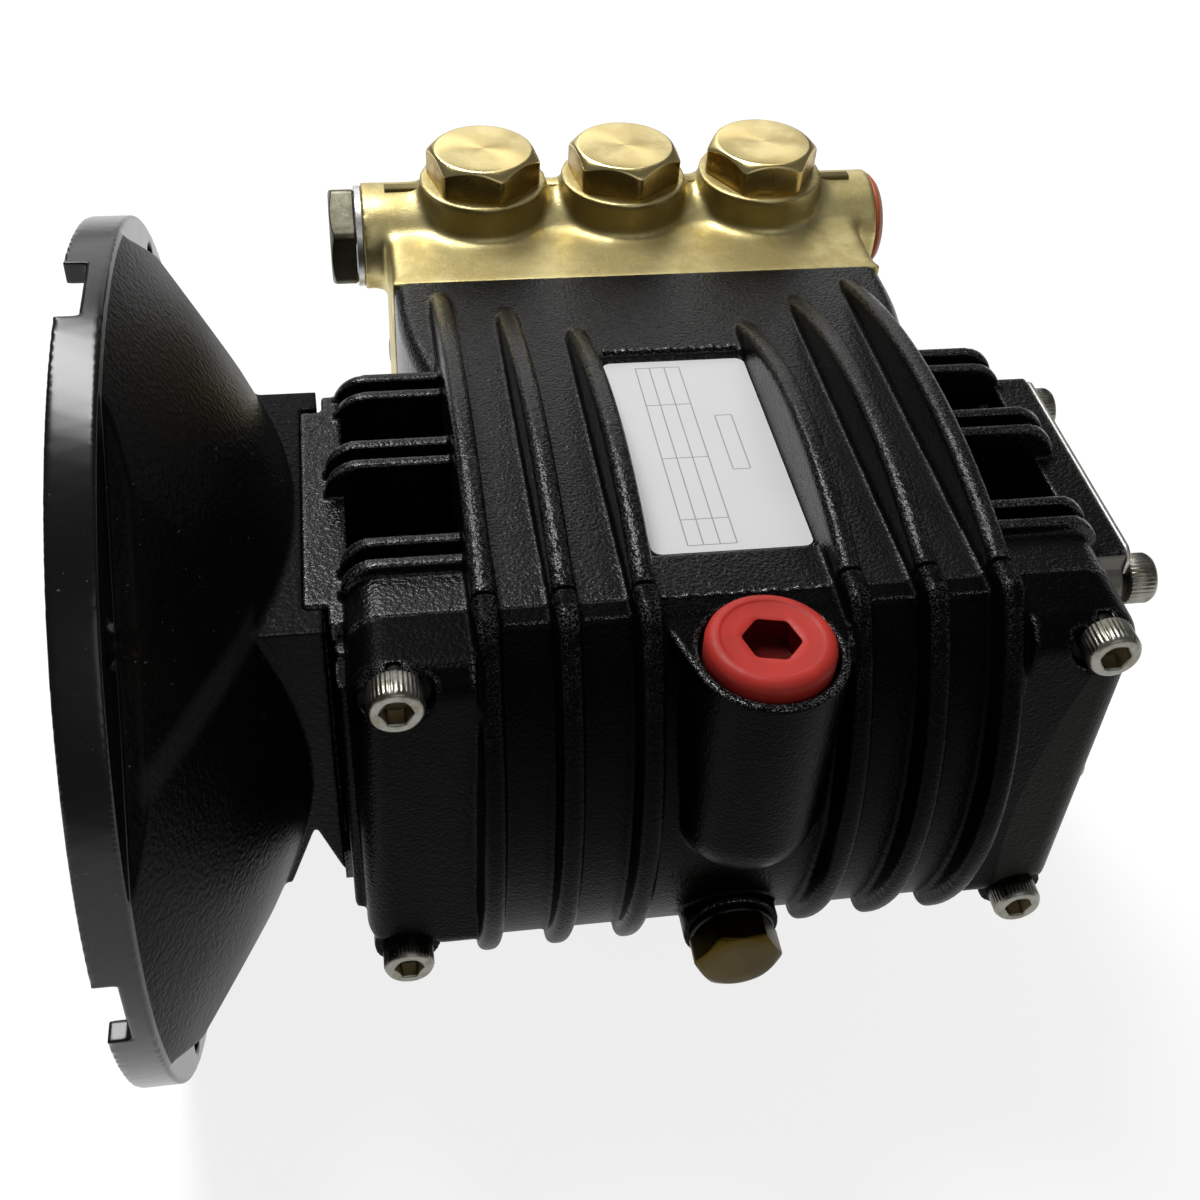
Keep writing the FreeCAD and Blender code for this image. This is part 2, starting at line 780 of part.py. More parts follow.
def pump_head():
    """The brass valve head: a forged block with valve collars and a gallery boss at each level."""
    body = block(
        pump_mid_x - head_half_width, pump_mid_x + head_half_width,
        head_joint_y, head_front_y, -head_half_height, head_half_height,
    )
    front_edges = [e for e in body.Edges if abs(e.CenterOfMass.y - head_front_y) < 0.01]
    pieces = [body.makeFillet(head_edge_radius, front_edges)]
    boss_start = Vector(pump_mid_x - head_boss_end_half, gallery_y, gallery_z)
    pieces.append(rod(boss_start, ALONG_X, 2 * head_boss_end_half, gallery_boss_radius))
    for x in valve_x:
        pieces.append(rod(Vector(x, valve_y, 0), ALONG_Z, collar_top_z, collar_radius))
    upper = join(pieces)
    head = join([upper, mirror_z(upper)])
    stub_space = cap_stub_length + tip_clearance
    for x in valve_x:
        well = rod(
            Vector(x, valve_y, collar_top_z - stub_space), ALONG_Z, stub_space,
            cap_stub_radius + thread_clearance,
        )
        head = head.cut(well).cut(mirror_z(well))
    for z in (gallery_z, -gallery_z):
        port = rod(
            Vector(pump_mid_x - head_boss_end_half, gallery_y, z), ALONG_X, port_depth,
            port_radius + thread_clearance,
        )
        head = head.cut(port).cut(mirror_x(port))
    for seat in head_bolt_seats:
        head = head.cut(rod(
            Vector(seat.x, head_joint_y, seat.z), ALONG_Y, head_front_y - head_joint_y,
            m8_shank_radius + hole_clearance,
        ))
    return head


def valve_cap(x, turn):
    """A hexagon valve cap with a turned face, standing on its collar."""
    seat = Vector(x, valve_y, collar_top_z)
    head = turned_hex(
        seat, ALONG_Z, cap_hex_height, cap_hex_flats, turn, cap_face_radius, cap_edge_drop,
    )
    stub = rod(seat - ALONG_Z * cap_stub_length, ALONG_Z, cap_stub_length, cap_stub_radius)
    return join([head, stub])


def oil_filler_plug():
    """The plastic oil filler plug with a hexagon socket."""
    seat_z = filler_pad_z - filler_recess_depth + filler_seal_thickness
    seat = Vector(filler_x, filler_y, seat_z)
    height = filler_plug_top_z - seat_z
    head = rod(seat, ALONG_Z, height, filler_plug_radius)
    top_edges = [e for e in head.Edges if e.CenterOfMass.z > filler_plug_top_z - 0.1]
    head = head.makeFillet(filler_plug_edge, top_edges)
    stub_length = filler_stub_length + filler_seal_thickness
    stub = rod(seat - ALONG_Z * stub_length, ALONG_Z, stub_length, filler_stub_radius)
    socket_start = Vector(filler_x, filler_y, filler_plug_top_z - filler_socket_depth)
    socket = hex_bar(
        socket_start, ALONG_Z, filler_socket_depth, filler_socket_flats, filler_socket_turn,
    )
    return join([head, stub]).cut(socket)


def filler_seal():
    """The seal ring under the filler plug."""
    start = Vector(filler_x, filler_y, filler_pad_z - filler_recess_depth)
    outer = rod(start, ALONG_Z, filler_seal_thickness, filler_plug_radius)
    return outer.cut(rod(start, ALONG_Z, filler_seal_thickness, filler_stub_radius + thread_clearance))


def drain_washer():
    """The flat sealing washer under the drain plug."""
    start = Vector(drain_x, drain_face_y, drain_z)
    outward = ALONG_Y * -1
    outer = rod(start, outward, drain_washer_thickness, drain_washer_radius)
    inner = rod(start, outward, drain_washer_thickness, drain_stub_radius + thread_clearance)
    return outer.cut(inner)


def drain_plug():
    """The brass drain plug, a turned hexagon on a short threaded stub."""
    outward = ALONG_Y * -1
    seat = Vector(drain_x, drain_face_y - drain_washer_thickness, drain_z)
    face_radius = drain_hex_flats / 2 - machined_edge
    head = turned_hex(seat, outward, drain_hex_height, drain_hex_flats, 0, face_radius, port_plug_edge)
    stub_length = drain_stub_length + drain_washer_thickness
    stub = rod(seat - outward * stub_length, outward, stub_length, drain_stub_radius)
    return join([head, stub])


def port_washer(z):
    """The metal washer under a port plug."""
    outward = ALONG_X * -1
    start = Vector(pump_mid_x - head_boss_end_half, gallery_y, z)
    outer = rod(start, outward, port_washer_thickness, port_washer_radius)
    return outer.cut(rod(start, outward, port_washer_thickness, port_radius + thread_clearance))


def port_plug(z):
    """A hexagon plug that closes a port at the left end of the head."""
    outward = ALONG_X * -1
    seat = Vector(pump_mid_x - head_boss_end_half - port_washer_thickness, gallery_y, z)
    face_radius = port_plug_flats / 2 - machined_edge
    head = turned_hex(seat, outward, port_plug_height, port_plug_flats, 0, face_radius, port_plug_edge)
    stub_length = port_stub_length + port_washer_thickness
    stub = rod(seat - outward * stub_length, outward, stub_length, port_radius)
    return join([head, stub])


def port_cap(z):
    """The push-in plastic cap that protects an open port at the right end of the head."""
    start = Vector(pump_mid_x + head_boss_end_half, gallery_y, z)
    rim = rod(start, ALONG_X, port_cap_rim, port_cap_radius)
    dome = Part.makeCone(
        port_cap_radius, port_cap_dome_radius, port_cap_dome,
        start + ALONG_X * port_cap_rim, ALONG_X,
    )
    stub = rod(start - ALONG_X * port_cap_stub_length, ALONG_X, port_cap_stub_length,
               port_radius - running_clearance)
    return join([rim, dome, stub])


def hollow_shaft():
    """The end of the crankshaft, bored and keyed to take the motor's shaft."""
    start = Vector(shaft_mouth_x, 0, 0)
    shaft = rod(start, ALONG_X, shaft_length, shaft_outer_radius)
    shaft = shaft.cut(rod(start, ALONG_X, shaft_bore_length, shaft_bore_radius))
    return shaft.cut(block(
        shaft_mouth_x, shaft_mouth_x + shaft_bore_length, -keyway_width / 2, keyway_width / 2,
        0, shaft_bore_radius + keyway_depth,
    ))


def shaft_seal():
    """The oil seal round the hollow shaft, pressed into the crankcase wall."""
    start = Vector(wing_outer_x + seal_recess, 0, 0)
    ring = rod(start, ALONG_X, seal_width, seal_radius)
    return ring.cut(rod(start, ALONG_X, seal_width, shaft_outer_radius))


def rating_plate():
    """The blank rating plate in the bay between the middle ribs."""
    floor_z = seam_flange_top_z - plate_recess_depth
    return sloped_with_case(soften(
        block(
            bay_left_x + plate_left_gap, bay_right_x - plate_right_gap,
            plate_rear_y, plate_rear_y + plate_length, floor_z, floor_z + plate_thickness,
        ),
        ALONG_Z, plate_corner_radius,
    ))


def build():
    """Every piece of the pump by the name of its node."""
    pieces = {
        "motor_flange": motor_flange(),
        "crankcase": crankcase(),
        "rear_cover": rear_cover(),
        "bearing_cover": bearing_cover(),
        "pump_head": pump_head(),
        "oil_filler_plug": oil_filler_plug(),
        "filler_seal": filler_seal(),
        "drain_plug": drain_plug(),
        "drain_washer": drain_washer(),
        "hollow_shaft": hollow_shaft(),
        "shaft_seal": shaft_seal(),
        "rating_plate": rating_plate(),
    }
    for number, seat in enumerate(cover_screw_seats, 1):
        pieces[f"cover_screw_{number}"] = m6_screw(seat, ALONG_Y * -1, cover_screw_length)
    for number, seat in enumerate(bearing_screw_seats, 1):
        pieces[f"bearing_screw_{number}"] = m6_screw(seat, ALONG_X, bearing_screw_length)
    for number, seat in enumerate(flange_screw_seats, 1):
        pieces[f"flange_screw_{number}"] = m6_screw(seat, ALONG_X * -1, flange_screw_length)
    for number, seat in enumerate(head_bolt_seats, 1):
        pieces[f"head_bolt_{number}"] = socket_screw(
            seat, ALONG_Y, m8_head_radius, m8_head_height, m8_shank_radius,
            head_bolt_length, m8_socket_flats, m8_socket_depth,
        )
    for number, (x, turn) in enumerate(zip(valve_x, outlet_cap_turns), 1):
        pieces[f"outlet_valve_cap_{number}"] = valve_cap(x, turn)
    for number, (x, turn) in enumerate(zip(valve_x, inlet_cap_turns), 1):
        pieces[f"inlet_valve_cap_{number}"] = mirror_z(valve_cap(x, turn))
    for name, z in (("outlet", gallery_z), ("inlet", -gallery_z)):
        pieces[f"{name}_port_washer"] = port_washer(z)
        pieces[f"{name}_port_plug"] = port_plug(z)
        pieces[f"{name}_port_cap"] = port_cap(z)
    return pieces


os.makedirs("parts", exist_ok=True)
for name, shape in build().items():
    if len(shape.Solids) != 1:
        print(name, "has", len(shape.Solids), "solids")
    shape.exportStep(f"parts/{name}.step")
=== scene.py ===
import math

import bpy
from mathutils import Matrix, Vector


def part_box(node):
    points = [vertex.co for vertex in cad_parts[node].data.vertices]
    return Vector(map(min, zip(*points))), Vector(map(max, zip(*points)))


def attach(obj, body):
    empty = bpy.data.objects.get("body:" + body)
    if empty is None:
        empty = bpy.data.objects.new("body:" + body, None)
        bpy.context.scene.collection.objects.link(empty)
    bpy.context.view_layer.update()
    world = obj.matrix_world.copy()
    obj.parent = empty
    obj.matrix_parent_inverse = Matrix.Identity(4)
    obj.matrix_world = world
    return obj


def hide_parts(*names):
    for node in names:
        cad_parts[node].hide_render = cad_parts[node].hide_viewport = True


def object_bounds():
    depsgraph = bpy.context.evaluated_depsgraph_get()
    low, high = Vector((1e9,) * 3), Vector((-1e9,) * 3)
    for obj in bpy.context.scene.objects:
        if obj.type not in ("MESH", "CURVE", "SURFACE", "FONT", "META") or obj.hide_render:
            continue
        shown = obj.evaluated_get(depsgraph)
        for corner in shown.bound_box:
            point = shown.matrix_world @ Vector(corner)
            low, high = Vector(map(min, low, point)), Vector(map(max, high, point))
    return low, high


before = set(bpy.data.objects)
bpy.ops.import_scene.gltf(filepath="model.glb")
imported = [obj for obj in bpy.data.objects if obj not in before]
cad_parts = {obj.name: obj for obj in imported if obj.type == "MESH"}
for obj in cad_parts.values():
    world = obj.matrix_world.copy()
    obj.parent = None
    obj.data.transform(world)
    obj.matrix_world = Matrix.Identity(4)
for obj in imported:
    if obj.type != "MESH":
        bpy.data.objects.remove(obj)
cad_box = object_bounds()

MM = 0.001


# The crankcase is the ribbed black casting that carries the crankshaft. It is cast in aluminium,
# with soft edges and a little flash at its seams, and sprayed with gloss black paint over the
# pebbled skin of the mould. Machined faces meet the bell, the rear cover and the brass head.
def add(tree, kind, inputs=None, **settings):
    """Place a node in a tree, with its settings and what feeds its inputs."""
    node = tree.nodes.new(kind)
    for key, value in settings.items():
        setattr(node, key, value)
    for key, value in (inputs or {}).items():
        if isinstance(value, bpy.types.NodeSocket):
            tree.links.new(value, node.inputs[key])
        else:
            node.inputs[key].default_value = value
    return node


def new_group(name, inputs, outputs):
    """Start a shader group with named inputs and outputs."""
    tree = bpy.data.node_groups.new(name, "ShaderNodeTree")
    for label, kind, value in inputs:
        socket = tree.interface.new_socket(label, in_out="INPUT", socket_type="NodeSocket" + kind)
        socket.default_value = value
    for label, kind in outputs:
        tree.interface.new_socket(label, in_out="OUTPUT", socket_type="NodeSocket" + kind)
    return tree, tree.nodes.new("NodeGroupInput").outputs, tree.nodes.new("NodeGroupOutput")


def maths(tree, operation, a, b=0.0):
    """One sum of two numbers, or of a number and what a node puts out."""
    return add(tree, "ShaderNodeMath", {0: a, 1: b}, operation=operation).outputs[0]


def ramp(tree, value, low, high, to_low=0.0, to_high=1.0):
    """Map a value smoothly from one range to another, held at its ends."""
    return add(tree, "ShaderNodeMapRange", {
        "Value": value, "From Min": low, "From Max": high, "To Min": to_low, "To Max": to_high,
    }, interpolation_type="SMOOTHSTEP").outputs["Result"]


def mix(tree, share, a, b):
    """Blend two colours by a share."""
    node = add(tree, "ShaderNodeMix", {0: share, 6: a, 7: b}, data_type="RGBA")
    return node.outputs[2]


def casting_grain():
    """Pebbles, finer grit and slow patches, as the skin of a sand mould leaves them."""
    tree, given, out = new_group(
        "casting_grain",
        [("Pebbles", "Float", 1400.0), ("Patches", "Float", 30.0)],
        [("Height", "Float"), ("Patch", "Float")],
    )
    place = tree.nodes.new("ShaderNodeTexCoord").outputs["Object"]
    pebble = add(tree, "ShaderNodeTexNoise", {
        "Vector": place, "Scale": given["Pebbles"], "Detail": 2.0, "Roughness": 0.45,
    })
    patch = add(tree, "ShaderNodeTexNoise", {
        "Vector": place, "Scale": given["Patches"], "Detail": 4.0, "Roughness": 0.55,
    })
    tree.links.new(pebble.outputs["Fac"], out.inputs["Height"])
    tree.links.new(patch.outputs["Fac"], out.inputs["Patch"])
    return tree


def worn_edges():
    """A mask of the outer edges, broken up as handling wears them."""
    tree, given, out = new_group(
        "worn_edges",
        [("Start", "Float", 0.54), ("Full", "Float", 0.62), ("Break", "Float", 300.0)],
        [("Mask", "Float")],
    )
    geometry = tree.nodes.new("ShaderNodeNewGeometry")
    place = tree.nodes.new("ShaderNodeTexCoord").outputs["Object"]
    broken = add(tree, "ShaderNodeTexNoise", {
        "Vector": place, "Scale": given["Break"], "Detail": 3.0,
    })
    edge = add(tree, "ShaderNodeMapRange", {
        "Value": geometry.outputs["Pointiness"],
        "From Min": given["Start"], "From Max": given["Full"],
    }).outputs["Result"]
    tree.links.new(
        maths(tree, "MULTIPLY", edge, ramp(tree, broken.outputs["Fac"], 0.25, 0.55)),
        out.inputs["Mask"],
    )
    return tree


grain_group = casting_grain()
edge_group = worn_edges()


def new_material(name):
    """A material with its Principled shader, ready to be wired."""
    material = bpy.data.materials.new(name)
    material.use_nodes = True
    return material, material.node_tree, material.node_tree.nodes["Principled BSDF"]


def bump(tree, shader, height, depth, strength=1.0):
    """Give a shader the relief of a height field, with its depth in millimetres."""
    node = add(tree, "ShaderNodeBump", {
        "Height": height, "Distance": depth * MM, "Strength": strength,
    })
    tree.links.new(node.outputs["Normal"], shader.inputs["Normal"])


def cast_paint(
    name, colour, warm, gloss, pebbles, depth, specular, bare=None, gap=None, painted_reflection=None,
):
    """Gloss black paint over a pebbled casting, with rubbed paint and a painted highlight in specks on the
    crests that face up.

    Bare is a mask of the faces that were machined after painting, gap of the open joints and
    painted_reflection of a lighter grey painted reflection on faces turned to the front."""
    rubbed_glint_colour = (0.22, 0.22, 0.225, 1)
    reflection_colour = (0.028, 0.026, 0.021, 1)
    machined_colour = (0.20, 0.19, 0.165, 1)
    open_colour = (0.0, 0.0, 0.0, 1)
    material, tree, shader = new_material(name)
    grain = add(tree, "ShaderNodeGroup", {"Pebbles": pebbles}, node_tree=grain_group)
    worn = add(tree, "ShaderNodeGroup", {"Start": 0.505, "Full": 0.545}, node_tree=edge_group)
    place = tree.nodes.new("ShaderNodeTexCoord")
    facing = add(tree, "ShaderNodeSeparateXYZ", {"Vector": place.outputs["Normal"]}).outputs["Z"]
    # Crests that face up are picked out in specks and painted lighter and metallic: partly rubbed paint,
    # partly a painted highlight sparkle.
    crest_glint = maths(tree, "MULTIPLY", worn.outputs["Mask"], ramp(tree, facing, 0.25, 0.7))
    speck = add(tree, "ShaderNodeTexNoise", {
        "Vector": place.outputs["Object"], "Scale": 3000.0, "Detail": 1.0,
    })
    crest_glint = maths(tree, "MULTIPLY", crest_glint, ramp(tree, speck.outputs["Fac"], 0.50, 0.60))
    base = mix(tree, ramp(tree, grain.outputs["Patch"], 0.35, 0.7), colour, warm)
    base = mix(tree, crest_glint, base, rubbed_glint_colour)
    # Where a reflection mask is given, a lighter grey is painted in as a painted reflection.
    if painted_reflection is not None:
        base = mix(tree, painted_reflection(tree), base, reflection_colour)
    rough = ramp(tree, grain.outputs["Patch"], 0.3, 0.7, gloss, gloss + 0.1)
    metal = crest_glint
    height = grain.outputs["Height"]
    if bare is not None:
        machined = bare(tree)
        base = mix(tree, machined, base, machined_colour)
        metal = maths(tree, "MAXIMUM", crest_glint, maths(tree, "MULTIPLY", machined, 0.4))
        rough = maths(tree, "MAXIMUM", rough, maths(tree, "MULTIPLY", machined, 0.42))
        height = maths(tree, "MULTIPLY", height, maths(tree, "SUBTRACT", 1.0, machined))
    if gap is not None:
        opened = gap(tree)
        base = mix(tree, opened, base, open_colour)
        metal = maths(tree, "MULTIPLY", metal, maths(tree, "SUBTRACT", 1.0, opened))
        rough = maths(tree, "MAXIMUM", rough, opened)
    tree.links.new(base, shader.inputs["Base Color"])
    tree.links.new(metal, shader.inputs["Metallic"])
    tree.links.new(rough, shader.inputs["Roughness"])
    shader.inputs["Specular IOR Level"].default_value = specular
    bump(tree, shader, height, depth)
    return material


def within(tree, low, high):
    """A mask of the space between two corners, in millimetres."""
    place = tree.nodes.new("ShaderNodeTexCoord").outputs["Object"]
    parts = add(tree, "ShaderNodeSeparateXYZ", {"Vector": place})
    mask = 1.0
    for axis, start, end in zip("XYZ", low, high):
        over = maths(tree, "GREATER_THAN", parts.outputs[axis], start * MM)
        under = maths(tree, "LESS_THAN", parts.outputs[axis], end * MM)
        mask = maths(tree, "MULTIPLY", mask, maths(tree, "MULTIPLY", over, under))
    return mask


def put(name, mesh, material, slot, *nodes, crisp=None):
    """Place a mesh as a piece that rides on the pump and stands for its solids.

    Crisp is the angle in degrees past which an edge stays sharp. All are smooth without it."""
    piece = bpy.data.objects.new(name, mesh)
    bpy.context.scene.collection.objects.link(piece)
    mesh.materials.clear()
    mesh.materials.append(material)
    mesh.polygons.foreach_set("use_smooth", [True] * len(mesh.polygons))
    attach(piece, "root")
    if nodes:
        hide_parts(*nodes)
    if crisp is not None:
        mesh.set_sharp_from_angle(angle=math.radians(crisp))


def settled(piece):
    """The mesh of a piece once its modifiers have done their work."""
    bpy.context.view_layer.update()
    graph = bpy.context.evaluated_depsgraph_get()
    mesh = bpy.data.meshes.new_from_object(piece.evaluated_get(graph))
    piece.modifiers.clear()
    piece.data = mesh
    return mesh


def rounded_mesh(node, cell, passes, triangles, softness=None, soft_passes=0):
    """A solid's mesh with its edges rounded, by a fine remesh and a little smoothing.

    Where softness is given, it says for a point in millimetres how far the extra passes reach."""
    piece = bpy.data.objects.new("rounding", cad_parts[node].data.copy())
    bpy.context.scene.collection.objects.link(piece)
    remesh = piece.modifiers.new("cells", "REMESH")
    remesh.mode = "VOXEL"
    remesh.voxel_size = cell * MM
    smooth = piece.modifiers.new("smooth", "SMOOTH")
    smooth.factor = 0.5
    smooth.iterations = passes
    mesh = settled(piece)
    if softness:
        group = piece.vertex_groups.new(name="soft")
        for vertex in mesh.vertices:
            group.add([vertex.index], softness(vertex.co / MM), "REPLACE")
        blend = piece.modifiers.new("blend", "SMOOTH")
        blend.factor = 0.5
        blend.iterations = soft_passes
        blend.vertex_group = "soft"
        mesh = settled(piece)
    share = triangles / (2 * len(mesh.polygons))
    if share < 1:
        piece.modifiers.new("fewer", "DECIMATE").ratio = share
        mesh = settled(piece)
    bpy.data.objects.remove(piece)
    return mesh


def wing_face(tree):
    """A mask of the milled face on the wing beside the bearing cover."""
    return within(tree, low=(183.0, -33.0, 18.0), high=(192.7, -28.9, 36.0))


crankcase_paint = cast_paint(
    "crankcase_paint", (0.0022, 0.0022, 0.0024, 1), (0.004, 0.004, 0.004, 1),
    gloss=0.20, pebbles=1500.0, depth=0.20, specular=0.26, bare=wing_face,
)
put("crankcase_casting", rounded_mesh("crankcase", cell=0.45, passes=4, triangles=195000),
    crankcase_paint, "black_cast_paint", "crankcase")


def stack_faces(count, rings):
    """The faces between rings of points that are stacked, each with the same count."""
    faces = []
    for ring in range(rings - 1):
        for step in range(count):
            after = (step + 1) % count
            faces.append((
                ring * count + step, ring * count + after,
                (ring + 1) * count + after, (ring + 1) * count + step,
            ))
    return faces


def mesh_of(name, points, faces):
    """A mesh from its points, in metres, and its faces."""
    mesh = bpy.data.meshes.new(name)
    mesh.from_pydata(points, [], faces)
    mesh.validate()
    return mesh


def bar_mesh(name, low, high, round_off, wander=0.0):
    """A long bar along X with rounded edges, which may wander a little as cast flash does."""
    steps = 120 if wander else 2
    outline = []
    for corner in range(4):
        corner_y = high[1] - round_off if corner in (0, 3) else low[1] + round_off
        corner_z = high[2] - round_off if corner in (0, 1) else low[2] + round_off
        for part in range(4):
            angle = math.radians(90 * corner + 30 * part)
            outline.append((
                corner_y + round_off * math.cos(angle), corner_z + round_off * math.sin(angle),
            ))
    middle_y, middle_z = (low[1] + high[1]) / 2, (low[2] + high[2]) / 2
    points = []
    for step in range(steps):
        share = step / (steps - 1)
        x = low[0] + (high[0] - low[0]) * share
        waves = math.sin(41 * share) + 0.7 * math.sin(97 * share + 1.3) + 0.5 * math.sin(211 * share)
        sway = wander * waves
        swell = 0.75 + 0.45 * math.sin(67 * share + 0.4) * math.sin(29 * share) if wander else 1.0
        for y, z in outline:
            points.append((
                x * MM,
                (middle_y + sway + (y - middle_y) * swell) * MM,
                (middle_z + (z - middle_z) * swell) * MM,
            ))
    count = len(outline)
    faces = stack_faces(count, steps)
    faces.append(tuple(reversed(range(count))))
    faces.append(tuple((steps - 1) * count + side for side in range(count)))
    return mesh_of(name, points, faces)


for name, low, high, wander in (
    ("plate_recess_flash", (100.4, 38.2, 39.3), (129.6, 39.8, 40.5), 0.12),
    ("middle_seam_flash", (99.0, -38.6, 40.3), (130.0, -37.5, 41.4), 0.12),
    ("wing_foot", (39.7, -36.2, -35.2), (44.0, -31.0, -26.0), 0.0),
):
    bar = bar_mesh(name, low, high, round_off=0.4, wander=wander)
    put(name, bar, crankcase_paint, "black_cast_paint")


# The rear cover closes the crank space. It is cast and painted as the crankcase is, with ribs
# that carry on the crankcase's ribs, a boss for the oil filler and one for the drain.
def side_flat(tree):
    """A mask of the flat beside the ribs at the far end, whose inner edge is a bowed line, on faces turned
    to the front, where a painted reflection goes.
    """
    inner_edge, lowest, bend = 171.1, -12.0, 0.0033
    place = tree.nodes.new("ShaderNodeTexCoord")
    parts = add(tree, "ShaderNodeSeparateXYZ", {"Vector": place.outputs["Object"]})
    facing = add(tree, "ShaderNodeSeparateXYZ", {"Vector": place.outputs["Normal"]}).outputs["Y"]
    level = maths(tree, "ADD", maths(tree, "DIVIDE", parts.outputs["Z"], MM), -lowest)
    bow = maths(tree, "MULTIPLY", maths(tree, "MULTIPLY", level, level), bend)
    edge = maths(tree, "ADD", bow, inner_edge)
    beyond = maths(tree, "SUBTRACT", maths(tree, "DIVIDE", parts.outputs["X"], MM), edge)
    front = ramp(tree, facing, -0.8, -0.4, 1.0, 0.0)
    return maths(tree, "MULTIPLY", ramp(tree, beyond, -0.2, 0.4), front)


def rib_joint(tree):
    """A mask of the open joint between the cover's ribs and the crankcase's."""
    return within(tree, low=(60.0, -39.0, 43.0), high=(170.0, -37.7, 60.0))


cover_paint = cast_paint(
    "rear_cover_paint", (0.0012, 0.0012, 0.0013, 1), (0.002, 0.002, 0.002, 1),
    gloss=0.24, pebbles=1500.0, depth=0.16, specular=0.03, gap=rib_joint, painted_reflection=side_flat,
)
put("rear_cover_casting", rounded_mesh("rear_cover", cell=0.45, passes=4, triangles=170000),
    cover_paint, "black_cast_paint", "rear_cover")


# The motor flange is a bell cast in one piece: a turned rim that meets the motor, a cone with
# four flat corners, and a square neck that is screwed to the crankcase from inside. Its paint is
# leathery on the cone, and smooth with a thicker gloss on the turned rim.
def facet_ridges(tree):
    """A mask of the ridges where the cone meets its four flat corners, where a painted highlight goes."""
    ridge_level = 36.6
    place = tree.nodes.new("ShaderNodeTexCoord").outputs["Object"]
    parts = add(tree, "ShaderNodeSeparateXYZ", {"Vector": place})
    height = maths(tree, "ABSOLUTE", maths(tree, "DIVIDE", parts.outputs["Z"], MM))
    off = maths(tree, "ABSOLUTE", maths(tree, "SUBTRACT", height, ridge_level))
    near = ramp(tree, off, 0.8, 3.4, 1.0, 0.0)
    near = maths(tree, "MULTIPLY", near, ramp(tree, parts.outputs["X"], 0.027, 0.0285, 1.0, 0.0))
    return maths(tree, "MULTIPLY", near, ramp(tree, parts.outputs["X"], 0.009, 0.013))


def bell_paint():
    """Black paint, leathery on the cone with a little dust, a painted highlight along the facet ridges,
    and thick and glossy on the rim.
    """
    cold, warm = (0.0028, 0.003, 0.0046, 1), (0.006, 0.0052, 0.0042, 1)
    ridge_highlight_colour, dust_colour = (0.022, 0.022, 0.025, 1), (0.25, 0.25, 0.26, 1)
    material, tree, shader = new_material("bell_paint")
    grain = add(tree, "ShaderNodeGroup", {"Pebbles": 1000.0}, node_tree=grain_group)
    rim = within(tree, low=(-1.0, -90.0, -90.0), high=(8.3, 90.0, 90.0))
    dust = add(tree, "ShaderNodeTexNoise", {
        "Vector": tree.nodes.new("ShaderNodeTexCoord").outputs["Object"],
        "Scale": 1500.0, "Detail": 1.0,
    })
    speck = maths(tree, "MULTIPLY", ramp(tree, dust.outputs["Fac"], 0.76, 0.80), 0.5)
    base = mix(tree, ramp(tree, grain.outputs["Patch"], 0.35, 0.7), cold, warm)
    # The facet ridges are painted lighter as a painted highlight.
    base = mix(tree, facet_ridges(tree), base, ridge_highlight_colour)
    tree.links.new(mix(tree, speck, base, dust_colour), shader.inputs["Base Color"])
    rough = ramp(tree, grain.outputs["Patch"], 0.3, 0.7, 0.30, 0.38)
    tree.links.new(rough, shader.inputs["Roughness"])
    tree.links.new(maths(tree, "MULTIPLY", rim, 0.8), shader.inputs["Coat Weight"])
    shader.inputs["Coat Roughness"].default_value = 0.22
    shader.inputs["Specular IOR Level"].default_value = 0.05
    leather = maths(tree, "SUBTRACT", 1.0, maths(tree, "MULTIPLY", rim, 0.93))
    bump(tree, shader, maths(tree, "MULTIPLY", grain.outputs["Height"], leather), 0.20)
    return material


put("motor_flange_casting", rounded_mesh("motor_flange", cell=0.45, passes=6, triangles=195000),
    bell_paint(), "black_cast_paint", "motor_flange")


# The end of the crankshaft is ground steel, bored and keyed for the motor's shaft. A rubber lip
# seal is pressed round it into the crankcase wall.
def plain_metal(name, colour, rough, streak, depth):
    """Machined metal with fine tool marks."""
    material, tree, shader = new_material(name)
    place = tree.nodes.new("ShaderNodeTexCoord").outputs["Object"]
    marks = add(tree, "ShaderNodeTexNoise", {
        "Vector": place, "Scale": streak, "Detail": 4.0, "Roughness": 0.6,
    })
    slow = add(tree, "ShaderNodeTexNoise", {"Vector": place, "Scale": 60.0, "Detail": 3.0})
    darker = tuple(0.72 * c for c in colour[:3]) + (1,)
    base = mix(tree, ramp(tree, slow.outputs["Fac"], 0.3, 0.7), darker, colour)
    tree.links.new(base, shader.inputs["Base Color"])
    shine = ramp(tree, marks.outputs["Fac"], 0.3, 0.7, rough - 0.06, rough + 0.08)
    tree.links.new(shine, shader.inputs["Roughness"])
    shader.inputs["Metallic"].default_value = 1.0
    bump(tree, shader, marks.outputs["Fac"], depth)
    return material


shaft_steel = plain_metal("shaft_steel", (0.56, 0.56, 0.57, 1), rough=0.30, streak=900.0, depth=0.02)
put("hollow_shaft_end", rounded_mesh("hollow_shaft", cell=0.4, passes=2, triangles=30000),
    shaft_steel, "ground_steel", "hollow_shaft")


